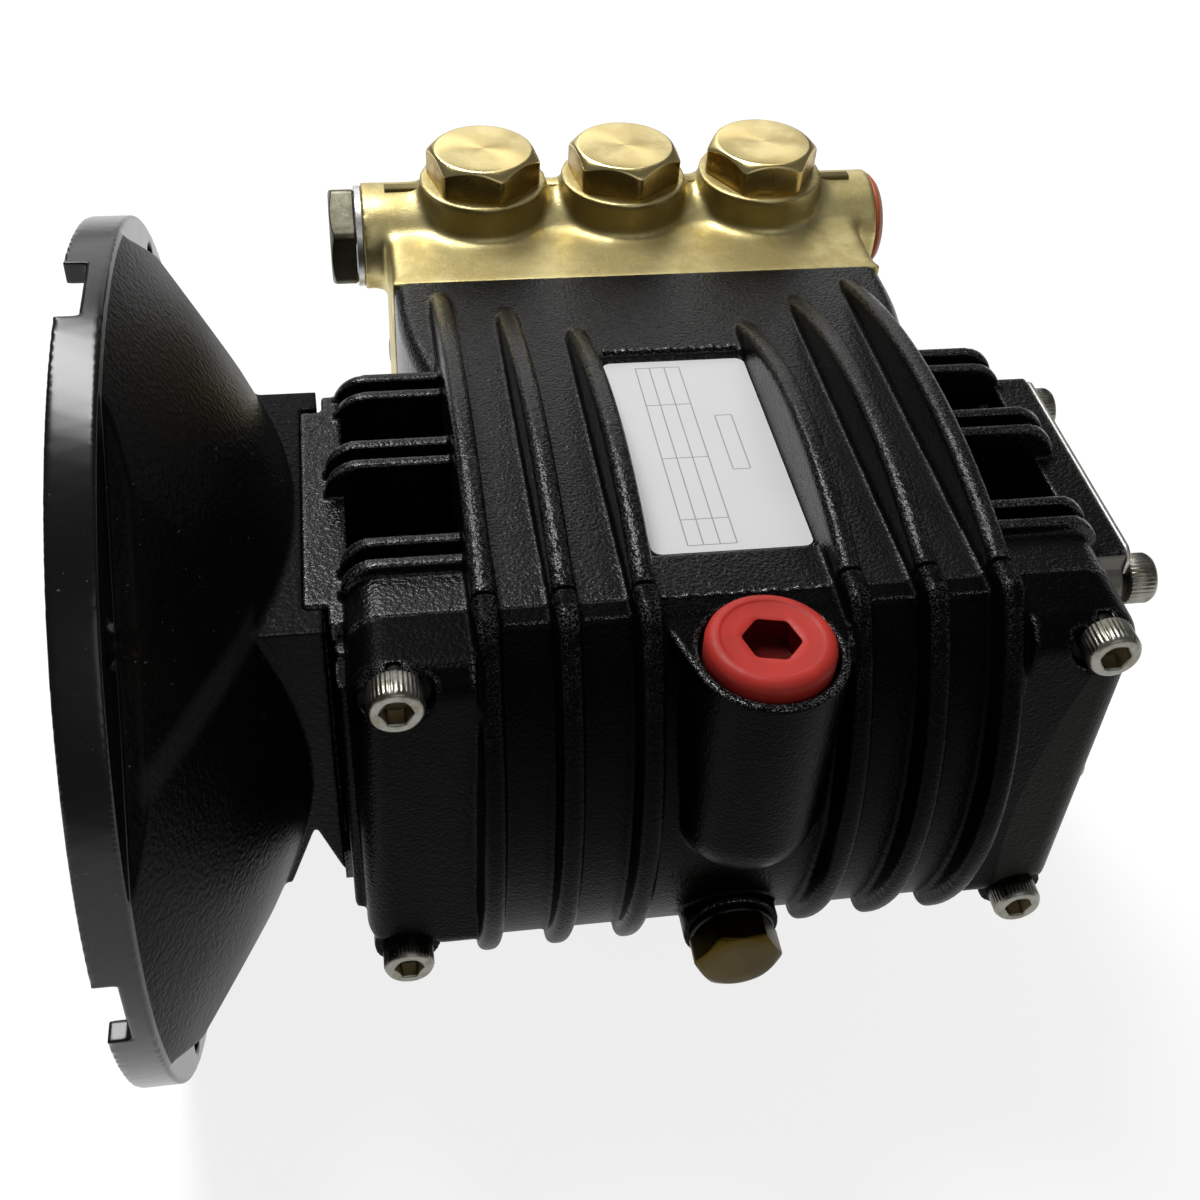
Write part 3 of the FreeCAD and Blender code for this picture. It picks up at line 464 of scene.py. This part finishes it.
def moulded(name, colour, rough, mottle, depth):
    """Rubber or plastic with a faintly uneven skin."""
    material, tree, shader = new_material(name)
    place = tree.nodes.new("ShaderNodeTexCoord").outputs["Object"]
    skin = add(tree, "ShaderNodeTexNoise", {"Vector": place, "Scale": mottle, "Detail": 3.0})
    slow = add(tree, "ShaderNodeTexNoise", {"Vector": place, "Scale": 90.0, "Detail": 2.0})
    deeper = tuple(0.82 * c for c in colour[:3]) + (1,)
    base = mix(tree, ramp(tree, slow.outputs["Fac"], 0.35, 0.65), deeper, colour)
    tree.links.new(base, shader.inputs["Base Color"])
    shine = ramp(tree, skin.outputs["Fac"], 0.3, 0.7, rough - 0.05, rough + 0.06)
    tree.links.new(shine, shader.inputs["Roughness"])
    bump(tree, shader, skin.outputs["Fac"], depth)
    return material


seal_rubber = moulded("seal_rubber", (0.02, 0.02, 0.02, 1), rough=0.55, mottle=1500.0, depth=0.03)
put("shaft_lip_seal", rounded_mesh("shaft_seal", cell=0.35, passes=2, triangles=20000),
    seal_rubber, "seal_rubber", "shaft_seal")


# The bearing cover is a bare aluminium plate, sawn and faced, held by four socket-head screws
# over the far crankshaft bearing.
bare_aluminium = plain_metal(
    "bare_aluminium", (0.66, 0.64, 0.61, 1), rough=0.42, streak=1400.0, depth=0.03,
)
put("bearing_cover_plate", rounded_mesh("bearing_cover", cell=0.35, passes=3, triangles=60000),
    bare_aluminium, "bare_aluminium", "bearing_cover")


# Every screw is a zinc-plated socket-head cap screw with a knurled head. The knurls are pressed,
# the top edge is turned off and the hexagon socket is forged in. M6 screws hold the rear cover,
# the bearing cover and the flange, and M8 screws run through the head.
def frame_along(axis):
    """Three directions, the third along an axis."""
    z = Vector(axis).normalized()
    x = Vector((0, 0, 1)).cross(z)
    x = Vector((1, 0, 0)) if x.length < 0.01 else x.normalized()
    return x, z.cross(x), z


def ring_mesh(name, start, axis, rings, closed=True):
    """A mesh through stacked rings of radii round the axis, in mm.

    The height of a ring is one number, or a list of one for each radius."""
    x, y, z = frame_along(axis)
    origin = Vector(start)
    count = len(rings[0][1])
    points = []
    for height, radii in rings:
        heights = height if isinstance(height, list) else [height] * count
        for step, (rise, radius) in enumerate(zip(heights, radii)):
            angle = 2 * math.pi * step / count
            outward = (x * math.cos(angle) + y * math.sin(angle)) * radius * MM
            points.append(origin + outward + z * rise * MM)
    faces = stack_faces(count, len(rings))
    if closed:
        first, last = len(points), len(points) + 1
        top = (len(rings) - 1) * count
        points.append(origin + z * rings[0][0] * MM)
        points.append(origin + z * rings[-1][0] * MM)
        for step in range(count):
            after = (step + 1) % count
            faces.append((first, after, step))
            faces.append((last, top + step, top + after))
    return mesh_of(name, points, faces)


def round_ring(radius, count=144):
    """Radii of a circle."""
    return [radius] * count


def turned(*profile):
    """Round rings from a turned profile of heights and radii."""
    return [(height, round_ring(radius)) for height, radius in profile]


def hex_ring(flats, turn=0.0, blunt=0.12, count=144):
    """Radii of a hexagon, with its corners a little blunted, turned by some degrees."""
    radii = []
    for step in range(count):
        angle = (360.0 * step / count - turn) % 60.0 - 30.0
        radii.append(min(flats / 2 / math.cos(math.radians(angle)), flats / math.sqrt(3) - blunt))
    return radii


def screw_mesh(name, seat, axis, radius, height, flats, depth, shank, length, ridges):
    """A socket-head cap screw with a knurled head."""
    count = 144
    per_ridge = count / ridges
    knurl = []
    for step in range(count):
        phase = (step % per_ridge) / per_ridge
        knurl.append(radius - 0.22 * (0.5 + 0.5 * math.cos(2 * math.pi * phase)) ** 1.5)
    core = radius - 0.30
    socket = flats / math.sqrt(3)
    rings = turned(
        (-length, shank - 0.8), (-length + 0.8, shank), (-0.02, shank), (0.0, core - 0.35), (0.25, core),
    )
    rings += [(0.45, knurl), (height - 1.05, knurl)]
    rings += turned(
        (height - 0.80, core + 0.1), (height - 0.55, core), (height - 0.22, core - 0.22),
        (height - 0.05, core - 0.52), (height, core - 0.85), (height, socket + 0.42),
        (height - 0.05, socket + 0.22),
    )
    rings += [(height - 0.35, hex_ring(flats, blunt=0.06)), (height - depth, hex_ring(flats, blunt=0.06))]
    rings += turned((height - depth - 0.02, flats / 2 - 0.35), (height - depth - 0.9, 0.15))
    return ring_mesh(name, seat, axis, rings)


def plated(name, colour, rough):
    """Zinc plate: slightly yellow, cloudy and soft in its shine."""
    material, tree, shader = new_material(name)
    place = tree.nodes.new("ShaderNodeTexCoord").outputs["Object"]
    cloud = add(tree, "ShaderNodeTexNoise", {
        "Vector": place, "Scale": 350.0, "Detail": 5.0, "Roughness": 0.65,
    })
    grit = add(tree, "ShaderNodeTexNoise", {"Vector": place, "Scale": 4000.0, "Detail": 2.0})
    dull = (colour[0] * 0.62, colour[1] * 0.60, colour[2] * 0.52, 1)
    base = mix(tree, ramp(tree, cloud.outputs["Fac"], 0.35, 0.62), dull, colour)
    tree.links.new(base, shader.inputs["Base Color"])
    shine = ramp(tree, cloud.outputs["Fac"], 0.3, 0.7, rough, rough + 0.16)
    tree.links.new(shine, shader.inputs["Roughness"])
    shader.inputs["Metallic"].default_value = 1.0
    bump(tree, shader, grit.outputs["Fac"], 0.02)
    return material


zinc = plated("zinc_plate", (0.31, 0.305, 0.27, 1), rough=0.26)
socket_zinc = plated("socket_zinc", (0.11, 0.085, 0.045, 1), rough=0.40)
m6_head = dict(radius=5.0, height=6.0, flats=5.0, depth=3.2, shank=3.0, ridges=36)
m8_head = dict(radius=6.5, height=8.0, flats=6.0, depth=4.0, shank=4.0, ridges=36)


def seat_of(node, inward, depth):
    """The middle of a solid's end, moved inward by a depth in millimetres."""
    low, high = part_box(node)
    seat = (low + high) / 2
    along = [abs(part) for part in inward].index(1)
    end = high[along] if inward[along] < 0 else low[along]
    seat[along] = end + inward[along] * depth * MM
    return seat


def place_screws(stem, count, axis, length, head):
    """Put a row of screws on the seats of their solids, with darker zinc in the sockets."""
    for number in range(1, count + 1):
        seat = seat_of(f"{stem}_{number}", axis, length)
        name = f"{stem}_{number}_knurled"
        mesh = screw_mesh(name, seat, axis, length=length, **head)
        put(name, mesh, zinc, "zinc_screw", f"{stem}_{number}")
        mesh.materials.append(socket_zinc)
        for face in mesh.polygons:
            rise = (face.center - seat).dot(Vector(axis)) / MM
            reach = (face.center - seat - Vector(axis) * rise * MM).length / MM
            inside = 0.5 < rise < head["height"] - 0.4
            face.material_index = int(inside and reach < head["flats"] / math.sqrt(3) + 0.05)


place_screws("cover_screw", 4, (0, -1, 0), length=22.0, head=m6_head)
place_screws("bearing_screw", 4, (1, 0, 0), length=12.0, head=m6_head)
place_screws("flange_screw", 4, (-1, 0, 0), length=15.0, head=m6_head)


# The valve head is a brass forging, blasted and only machined where valves, ports and the
# crankcase meet it. Its skin is pale and mottled, with painted shade on the upright sides of its valve
# collars.
def brass_skin(name, bright, dark, rough, mottle, depth, painted_shade=None):
    """Blasted or turned brass with cloudy patches, darkened as painted shade where a shade mask is given.
    """
    side_shade_colour = (0.24, 0.185, 0.06, 1)
    material, tree, shader = new_material(name)
    place = tree.nodes.new("ShaderNodeTexCoord").outputs["Object"]
    cloud = add(tree, "ShaderNodeTexNoise", {
        "Vector": place, "Scale": mottle, "Detail": 6.0, "Roughness": 0.62,
    })
    grit = add(tree, "ShaderNodeTexNoise", {
        "Vector": place, "Scale": 2400.0, "Detail": 3.0, "Roughness": 0.6,
    })
    base = mix(tree, ramp(tree, cloud.outputs["Fac"], 0.34, 0.66), dark, bright)
    # Painted shade: the masked skin takes a darker brass.
    if painted_shade is not None:
        base = mix(tree, painted_shade(tree), base, side_shade_colour)
    tree.links.new(base, shader.inputs["Base Color"])
    shine = ramp(tree, cloud.outputs["Fac"], 0.3, 0.7, rough + 0.08, rough - 0.04)
    tree.links.new(shine, shader.inputs["Roughness"])
    shader.inputs["Metallic"].default_value = 1.0
    bump(tree, shader, grit.outputs["Fac"], depth)
    return material


def collar_sides(tree):
    """A mask of the upright sides of the valve collars, where the brass is painted darker as shade."""
    place = tree.nodes.new("ShaderNodeTexCoord")
    level = add(tree, "ShaderNodeSeparateXYZ", {"Vector": place.outputs["Object"]}).outputs["Z"]
    facing = add(tree, "ShaderNodeSeparateXYZ", {"Vector": place.outputs["Normal"]}).outputs["Z"]
    upright = ramp(tree, maths(tree, "ABSOLUTE", facing), 0.25, 0.75, 0.85, 0.0)
    outer = ramp(tree, maths(tree, "ABSOLUTE", level), 0.0385, 0.0410)
    return maths(tree, "MULTIPLY", upright, outer)


head_brass = brass_skin(
    "head_brass", (0.80, 0.69, 0.34, 1), (0.56, 0.46, 0.20, 1),
    rough=0.43, mottle=140.0, depth=0.07, painted_shade=collar_sides,
)


def forged(point):
    """How freely the forging's skin flows at a point: not at all on its machined faces."""
    back = min(1.0, max(0.0, (point.y - 71.6) / 3.0))
    ends = min(1.0, max(0.0, (62.0 - abs(point.x - 114.6)) / 2.0))
    collars = min(1.0, max(0.0, (46.0 - abs(point.z)) / 1.5))
    return back * ends * collars


forging = rounded_mesh(
    "pump_head", cell=0.65, passes=3, triangles=150000, softness=forged, soft_passes=70,
)
put("valve_head_forging", forging, head_brass, "head_brass", "pump_head")
place_screws("head_bolt", 8, (0, 1, 0), length=60.0, head=m8_head)


for name, up in (("upper_parting_ledge", 1), ("lower_parting_ledge", -1)):
    low_z, high_z = sorted((up * 43.2, up * 45.3))
    ledge = bar_mesh(name, (57.5, 101.6, low_z), (171.5, 104.4, high_z), round_off=0.5)
    put(name, ledge, head_brass, "head_brass")


# A turned hexagon cap closes each valve well. The cone turned off its top leaves curved edges on
# the six flats. The faces are bright from the lathe and the flats are drawn bar.
def hex_cap_mesh(name, seat, axis, flats, height, face, drop, turn, stub, stub_length):
    """A hexagon head whose corners are turned off in a cone, on a round stub."""
    sides = hex_ring(flats, turn, blunt=0.25)
    slope = drop / (flats / math.sqrt(3) - face)

    def edge_height(radius):
        """How high the cone leaves the head at a radius."""
        return height - max(0.0, radius - face) * slope

    def lowered(radii, sunk, inward):
        """A ring that keeps to the cone's edge, sunk below it and drawn inward."""
        return [edge_height(r) - sunk for r in radii], [r - inward for r in radii]

    rings = turned((-stub_length, stub - 0.8), (-stub_length + 0.8, stub), (-0.02, stub))
    rings += [(0.0, [r - 0.35 for r in sides]), (0.35, sides)]
    rings += [lowered(sides, 0.22, 0.0), lowered(sides, 0.05, 0.06)]
    rings.append(([edge_height(r - 0.25) for r in sides], [r - 0.25 for r in sides]))
    rings += turned(
        (height - 0.12, face + 0.12 / slope * 0.6), (height, face - 0.4),
        (height - 0.02, face * 0.55), (height - 0.03, 0.6),
    )
    return ring_mesh(name, seat, axis, rings)


cap_brass = brass_skin(
    "cap_brass", (0.86, 0.72, 0.34, 1), (0.76, 0.60, 0.26, 1), rough=0.28, mottle=90.0, depth=0.015,
)
drawn_brass = brass_skin(
    "drawn_brass", (0.44, 0.31, 0.09, 1), (0.27, 0.18, 0.05, 1), rough=0.30, mottle=200.0, depth=0.02,
)
shader = cap_brass.node_tree.nodes["Principled BSDF"]
shader.inputs["Anisotropic"].default_value = 0.75
lathe = add(cap_brass.node_tree, "ShaderNodeTangent", direction_type="RADIAL", axis="Z")
cap_brass.node_tree.links.new(lathe.outputs[0], shader.inputs["Tangent"])


collar_top = 47.6
for level, up, turns in (("outlet", 1, (-76.0, -82.0, -60.0)), ("inlet", -1, (-70.0, -95.0, -84.0))):
    for number, turn in enumerate(turns, 1):
        node = f"{level}_valve_cap_{number}"
        low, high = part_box(node)
        seat = (low + high) / 2
        seat.z = up * collar_top * MM
        mesh = hex_cap_mesh(
            node + "_turned", seat, (0, 0, up), flats=24.0, height=7.7, face=11.4, drop=2.2,
            turn=turn, stub=9.8, stub_length=14.0,
        )
        put(node + "_turned", mesh, cap_brass, "cap_brass", node, crisp=35)
        mesh.materials.append(drawn_brass)
        for face in mesh.polygons:
            face.material_index = int(abs(face.normal.z) < 0.3)


# A hexagon plug with a soft metal washer closes the left end of each gallery. Its brass is dull
# and a little greenish beside the head.
def washer_mesh(name, seat, axis, inner, outer, thick):
    """A flat ring with its outer edges broken by 0.3 mm."""
    rings = turned(
        (0.0, inner), (0.0, outer - 0.3), (0.3, outer), (thick - 0.3, outer), (thick, outer - 0.3),
        (thick, inner), (0.0, inner),
    )
    return ring_mesh(name, seat, axis, rings, closed=False)


plug_brass = brass_skin(
    "plug_brass", (0.15, 0.145, 0.105, 1), (0.09, 0.085, 0.06, 1), rough=0.36, mottle=160.0, depth=0.03,
)
washer_metal = plain_metal(
    "washer_metal", (0.80, 0.79, 0.77, 1), rough=0.35, streak=800.0, depth=0.02,
)
for level in ("outlet", "inlet"):
    node = f"{level}_port_plug"
    seat = seat_of(node, (1, 0, 0), 6.0)
    mesh = hex_cap_mesh(
        node + "_turned", seat, (-1, 0, 0), flats=22.0, height=6.0, face=10.5, drop=1.0,
        turn=30.0, stub=8.2, stub_length=13.9,
    )
    put(node + "_turned", mesh, plug_brass, "dull_plug_brass", node, crisp=35)
    node = f"{level}_port_washer"
    seat = seat_of(node, (-1, 0, 0), 0.0)
    mesh = washer_mesh(node + "_ring", seat, (-1, 0, 0), inner=8.3, outer=12.0, thick=1.9)
    put(node + "_ring", mesh, washer_metal, "washer_aluminium", node, crisp=40)


# The open ports at the right end are kept clean by push-in caps of orange-red plastic, each a
# shallow dome with a rim.
cap_orange = moulded("cap_orange", (0.62, 0.13, 0.035, 1), rough=0.42, mottle=900.0, depth=0.03)
for level in ("outlet", "inlet"):
    node = f"{level}_port_cap"
    seat = seat_of(node, (1, 0, 0), 9.0)
    rings = turned(
        (-9.0, 7.2), (-8.4, 7.8), (-0.02, 7.8), (0.0, 11.3), (0.3, 11.6), (0.9, 11.6), (1.2, 11.3),
        (2.2, 10.2), (2.6, 9.4), (2.8, 8.4), (2.8, 3.0), (2.7, 0.6),
    )
    mesh = ring_mesh(node + "_moulded", seat, (1, 0, 0), rings)
    put(node + "_moulded", mesh, cap_orange, "orange_plastic", node, crisp=50)


# The oil filler plug is moulded in red plastic with a raised ring and a hexagon socket, and it
# screws down on a rubber ring in the recess of its boss.
plug_red = moulded("plug_red", (0.57, 0.040, 0.029, 1), rough=0.46, mottle=1100.0, depth=0.02)
plug_red.node_tree.nodes["Principled BSDF"].inputs["Specular IOR Level"].default_value = 0.25
# A darker red for the faces inside the hexagon socket, as painted shade.
socket_shade_red = moulded("socket_shade_red", (0.11, 0.003, 0.003, 1), rough=0.5, mottle=1100.0, depth=0.02)
socket_shade_red.node_tree.nodes["Principled BSDF"].inputs["Specular IOR Level"].default_value = 0.1
seat = seat_of("oil_filler_plug", (0, 0, -1), 7.5)
rings = turned(
    (-12.0, 7.2), (-11.2, 8.0), (-0.1, 8.0), (0.0, 11.2), (0.4, 11.6), (5.6, 11.6), (6.3, 11.42),
    (6.9, 11.0), (7.3, 10.4), (7.45, 9.9), (7.5, 9.4), (7.46, 9.1), (7.3, 8.95), (7.24, 8.7), (7.2, 6.4),
)
rings += [
    (7.16, hex_ring(9.9, turn=-12.0, blunt=0.25)),
    (6.95, hex_ring(9.3, turn=-12.0, blunt=0.2)),
    (1.6, hex_ring(9.2, turn=-12.0, blunt=0.2)),
]
rings += turned((1.5, 4.0), (1.5, 0.6))
mesh = ring_mesh("oil_filler_plug_moulded", seat, (0, 0, 1), rings)
put("oil_filler_plug_moulded", mesh, plug_red, "red_plastic", "oil_filler_plug", crisp=50)
mesh.materials.append(socket_shade_red)
for face in mesh.polygons:
    rise = (face.center.z - seat.z) / MM
    reach = math.hypot(face.center.x - seat.x, face.center.y - seat.y) / MM
    face.material_index = int(0.5 < rise < 6.9 and reach < 5.4)
put("filler_seal_ring", rounded_mesh("filler_seal", cell=0.2, passes=2, triangles=8000),
    seal_rubber, "seal_rubber", "filler_seal")


# The drain plug is a small brass hexagon on a soft washer, low on the rear cover. The plug's brass
# is painted dark as shade, and the washer is dark.
seat = seat_of("drain_plug", (0, 1, 0), 6.5)
shaded_drain_brass = brass_skin(
    "shaded_drain_brass", (0.060, 0.040, 0.005, 1), (0.042, 0.028, 0.003, 1), rough=0.36, mottle=60.0, depth=0.02,
)
mesh = hex_cap_mesh(
    "drain_plug_turned", seat, (0, -1, 0), flats=16.0, height=6.5, face=7.5, drop=1.0,
    turn=0.0, stub=5.0, stub_length=11.3,
)
put("drain_plug_turned", mesh, shaded_drain_brass, "cap_brass", "drain_plug", crisp=35)
seat = seat_of("drain_washer", (0, -1, 0), 0.0)
mesh = washer_mesh("drain_washer_ring", seat, (0, -1, 0), inner=5.1, outer=8.6, thick=1.3)
dark_washer = plain_metal(
    "dark_washer", (0.030, 0.028, 0.024, 1), rough=0.45, streak=800.0, depth=0.02,
)
put("drain_washer_ring", mesh, dark_washer, "washer_aluminium", "drain_washer", crisp=40)


# The rating plate is a glossy white film on thin metal, stuck in a shallow recess between the
# middle ribs. It is blank here but for plain ruled lines.
def ruled_plate():
    """White film with a faint unevenness and thin grey lines in the form of a blank table."""
    ink_colour = (0.14, 0.14, 0.15, 1)
    material, tree, shader = new_material("ruled_plate")
    place = tree.nodes.new("ShaderNodeTexCoord").outputs["Object"]
    parts = add(tree, "ShaderNodeSeparateXYZ", {"Vector": place})
    low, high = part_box("rating_plate")
    across = maths(tree, "DIVIDE", maths(tree, "SUBTRACT", parts.outputs["X"], low.x), MM)
    along = maths(tree, "DIVIDE", maths(tree, "SUBTRACT", parts.outputs["Y"], low.y), MM)

    def ruled(coordinate, at, other, start, end):
        """A thin line at one distance, between two distances of the other direction."""
        reach = maths(tree, "ABSOLUTE", maths(tree, "SUBTRACT", coordinate, at))
        line = ramp(tree, reach, 0.08, 0.16, 1.0, 0.0)
        after = maths(tree, "GREATER_THAN", other, start)
        before = maths(tree, "LESS_THAN", other, end)
        return maths(tree, "MULTIPLY", line, maths(tree, "MULTIPLY", after, before))

    ink = 0.0
    for at in (7.0, 10.0, 13.2, 16.4):
        ink = maths(tree, "MAXIMUM", ink, ruled(across, at, along, 2.0, 60.0))
    for at in (2.0, 9.5, 28.5, 46.5, 60.0):
        ink = maths(tree, "MAXIMUM", ink, ruled(along, at, across, 7.0, 16.4))
    for at in (20.5, 24.0):
        ink = maths(tree, "MAXIMUM", ink, ruled(across, at, along, 24.0, 42.0))
    for at in (24.0, 42.0):
        ink = maths(tree, "MAXIMUM", ink, ruled(along, at, across, 20.5, 24.0))
    slow = add(tree, "ShaderNodeTexNoise", {"Vector": place, "Scale": 50.0, "Detail": 3.0})
    white = mix(tree, slow.outputs["Fac"], (0.72, 0.73, 0.72, 1), (0.78, 0.79, 0.78, 1))
    ink = maths(tree, "MULTIPLY", ink, 0.7)
    tree.links.new(mix(tree, ink, white, ink_colour), shader.inputs["Base Color"])
    shine = ramp(tree, slow.outputs["Fac"], 0.3, 0.7, 0.32, 0.40)
    tree.links.new(shine, shader.inputs["Roughness"])
    return material


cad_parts["rating_plate"].data.materials.clear()
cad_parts["rating_plate"].data.materials.append(ruled_plate())


# A plain pale floor under the pump, one soft key light high behind its left shoulder, a wide
# panel low behind it that the upper faces mirror, and a weak light from the front.
floor_material, tree, shader = new_material("pale_floor")
shader.inputs["Roughness"].default_value = 0.9
shader.inputs["Base Color"].default_value = (0.28, 0.28, 0.28, 1)
shader.inputs["Specular IOR Level"].default_value = 0.0
path = tree.nodes.new("ShaderNodeLightPath")
seen = maths(tree, "MAXIMUM", path.outputs["Is Camera Ray"], path.outputs["Is Glossy Ray"])
seen = maths(tree, "MAXIMUM", seen, path.outputs["Is Transmission Ray"])
glow = add(tree, "ShaderNodeEmission", {
    "Color": (1, 1, 1, 1), "Strength": maths(tree, "MULTIPLY", seen, 0.82),
})
both = add(tree, "ShaderNodeAddShader", {0: shader.outputs[0], 1: glow.outputs[0]})
tree.links.new(both.outputs[0], tree.nodes["Material Output"].inputs["Surface"])
bpy.ops.mesh.primitive_plane_add(size=12.0, location=(0.1, 0.0, cad_box[0][2] - 0.5 * MM))
floor = bpy.context.object
floor.name = "floor"
floor.data.materials.append(floor_material)

world = bpy.data.worlds.new("studio")
bpy.context.scene.world = world
world.use_nodes = True
background = world.node_tree.nodes["Background"]
background.inputs["Strength"].default_value = 0.12
background.inputs["Color"].default_value = (1, 1, 1, 1)


def soft_light(name, place, aim, width, height, power):
    """A rectangular studio light that faces a point."""
    data = bpy.data.lights.new(name, "AREA")
    data.shape = "RECTANGLE"
    data.size = width
    data.size_y = height
    data.energy = power
    lamp = bpy.data.objects.new(name, data)
    bpy.context.scene.collection.objects.link(lamp)
    lamp.location = place
    lamp.rotation_euler = (Vector(aim) - Vector(place)).to_track_quat("-Z", "Y").to_euler()


middle = (0.1, 0.02, 0.0)
soft_light("key", (-0.19, 0.50, 1.13), middle, width=0.3, height=0.75, power=12.5)
soft_light("back_panel", (0.12, 1.45, 0.66), middle, width=1.4, height=0.9, power=4.2)
soft_light("front", (0.35, -1.3, 1.1), middle, width=0.9, height=0.9, power=2.5)


# The camera stands above and in front of the pump, a little to its left, and looks down at it.
# Its place, turn and lens come from the photograph's frame of 1200 by 1200 pixels.
frame_px, focal_px = 1200, 1562.68
centre_px = (602.16, 559.51)
eye = Vector((48.25, -232.84, 231.67)) * MM
yaw, pitch, roll = (math.radians(a) for a in (11.51, -42.25, 4.13))
ahead = Vector((math.sin(yaw) * math.cos(pitch), math.cos(yaw) * math.cos(pitch), math.sin(pitch)))
right = Vector((math.cos(yaw), -math.sin(yaw), 0))
up = right.cross(ahead)
across = math.cos(roll) * right + math.sin(roll) * up
above = -math.sin(roll) * right + math.cos(roll) * up
lens = bpy.data.cameras.new("camera")
lens.sensor_width = 36.0
lens.lens = lens.sensor_width * focal_px / frame_px
lens.shift_x = (frame_px / 2 - centre_px[0]) / frame_px
lens.shift_y = (centre_px[1] - frame_px / 2) / frame_px
lens.clip_start = 0.01
camera = bpy.data.objects.new("camera", lens)
bpy.context.scene.collection.objects.link(camera)
camera.matrix_world = Matrix((
    (across.x, above.x, -ahead.x, eye.x),
    (across.y, above.y, -ahead.y, eye.y),
    (across.z, above.z, -ahead.z, eye.z),
    (0, 0, 0, 1),
))
bpy.context.scene.camera = camera
bpy.context.scene.view_settings.view_transform = "Standard"
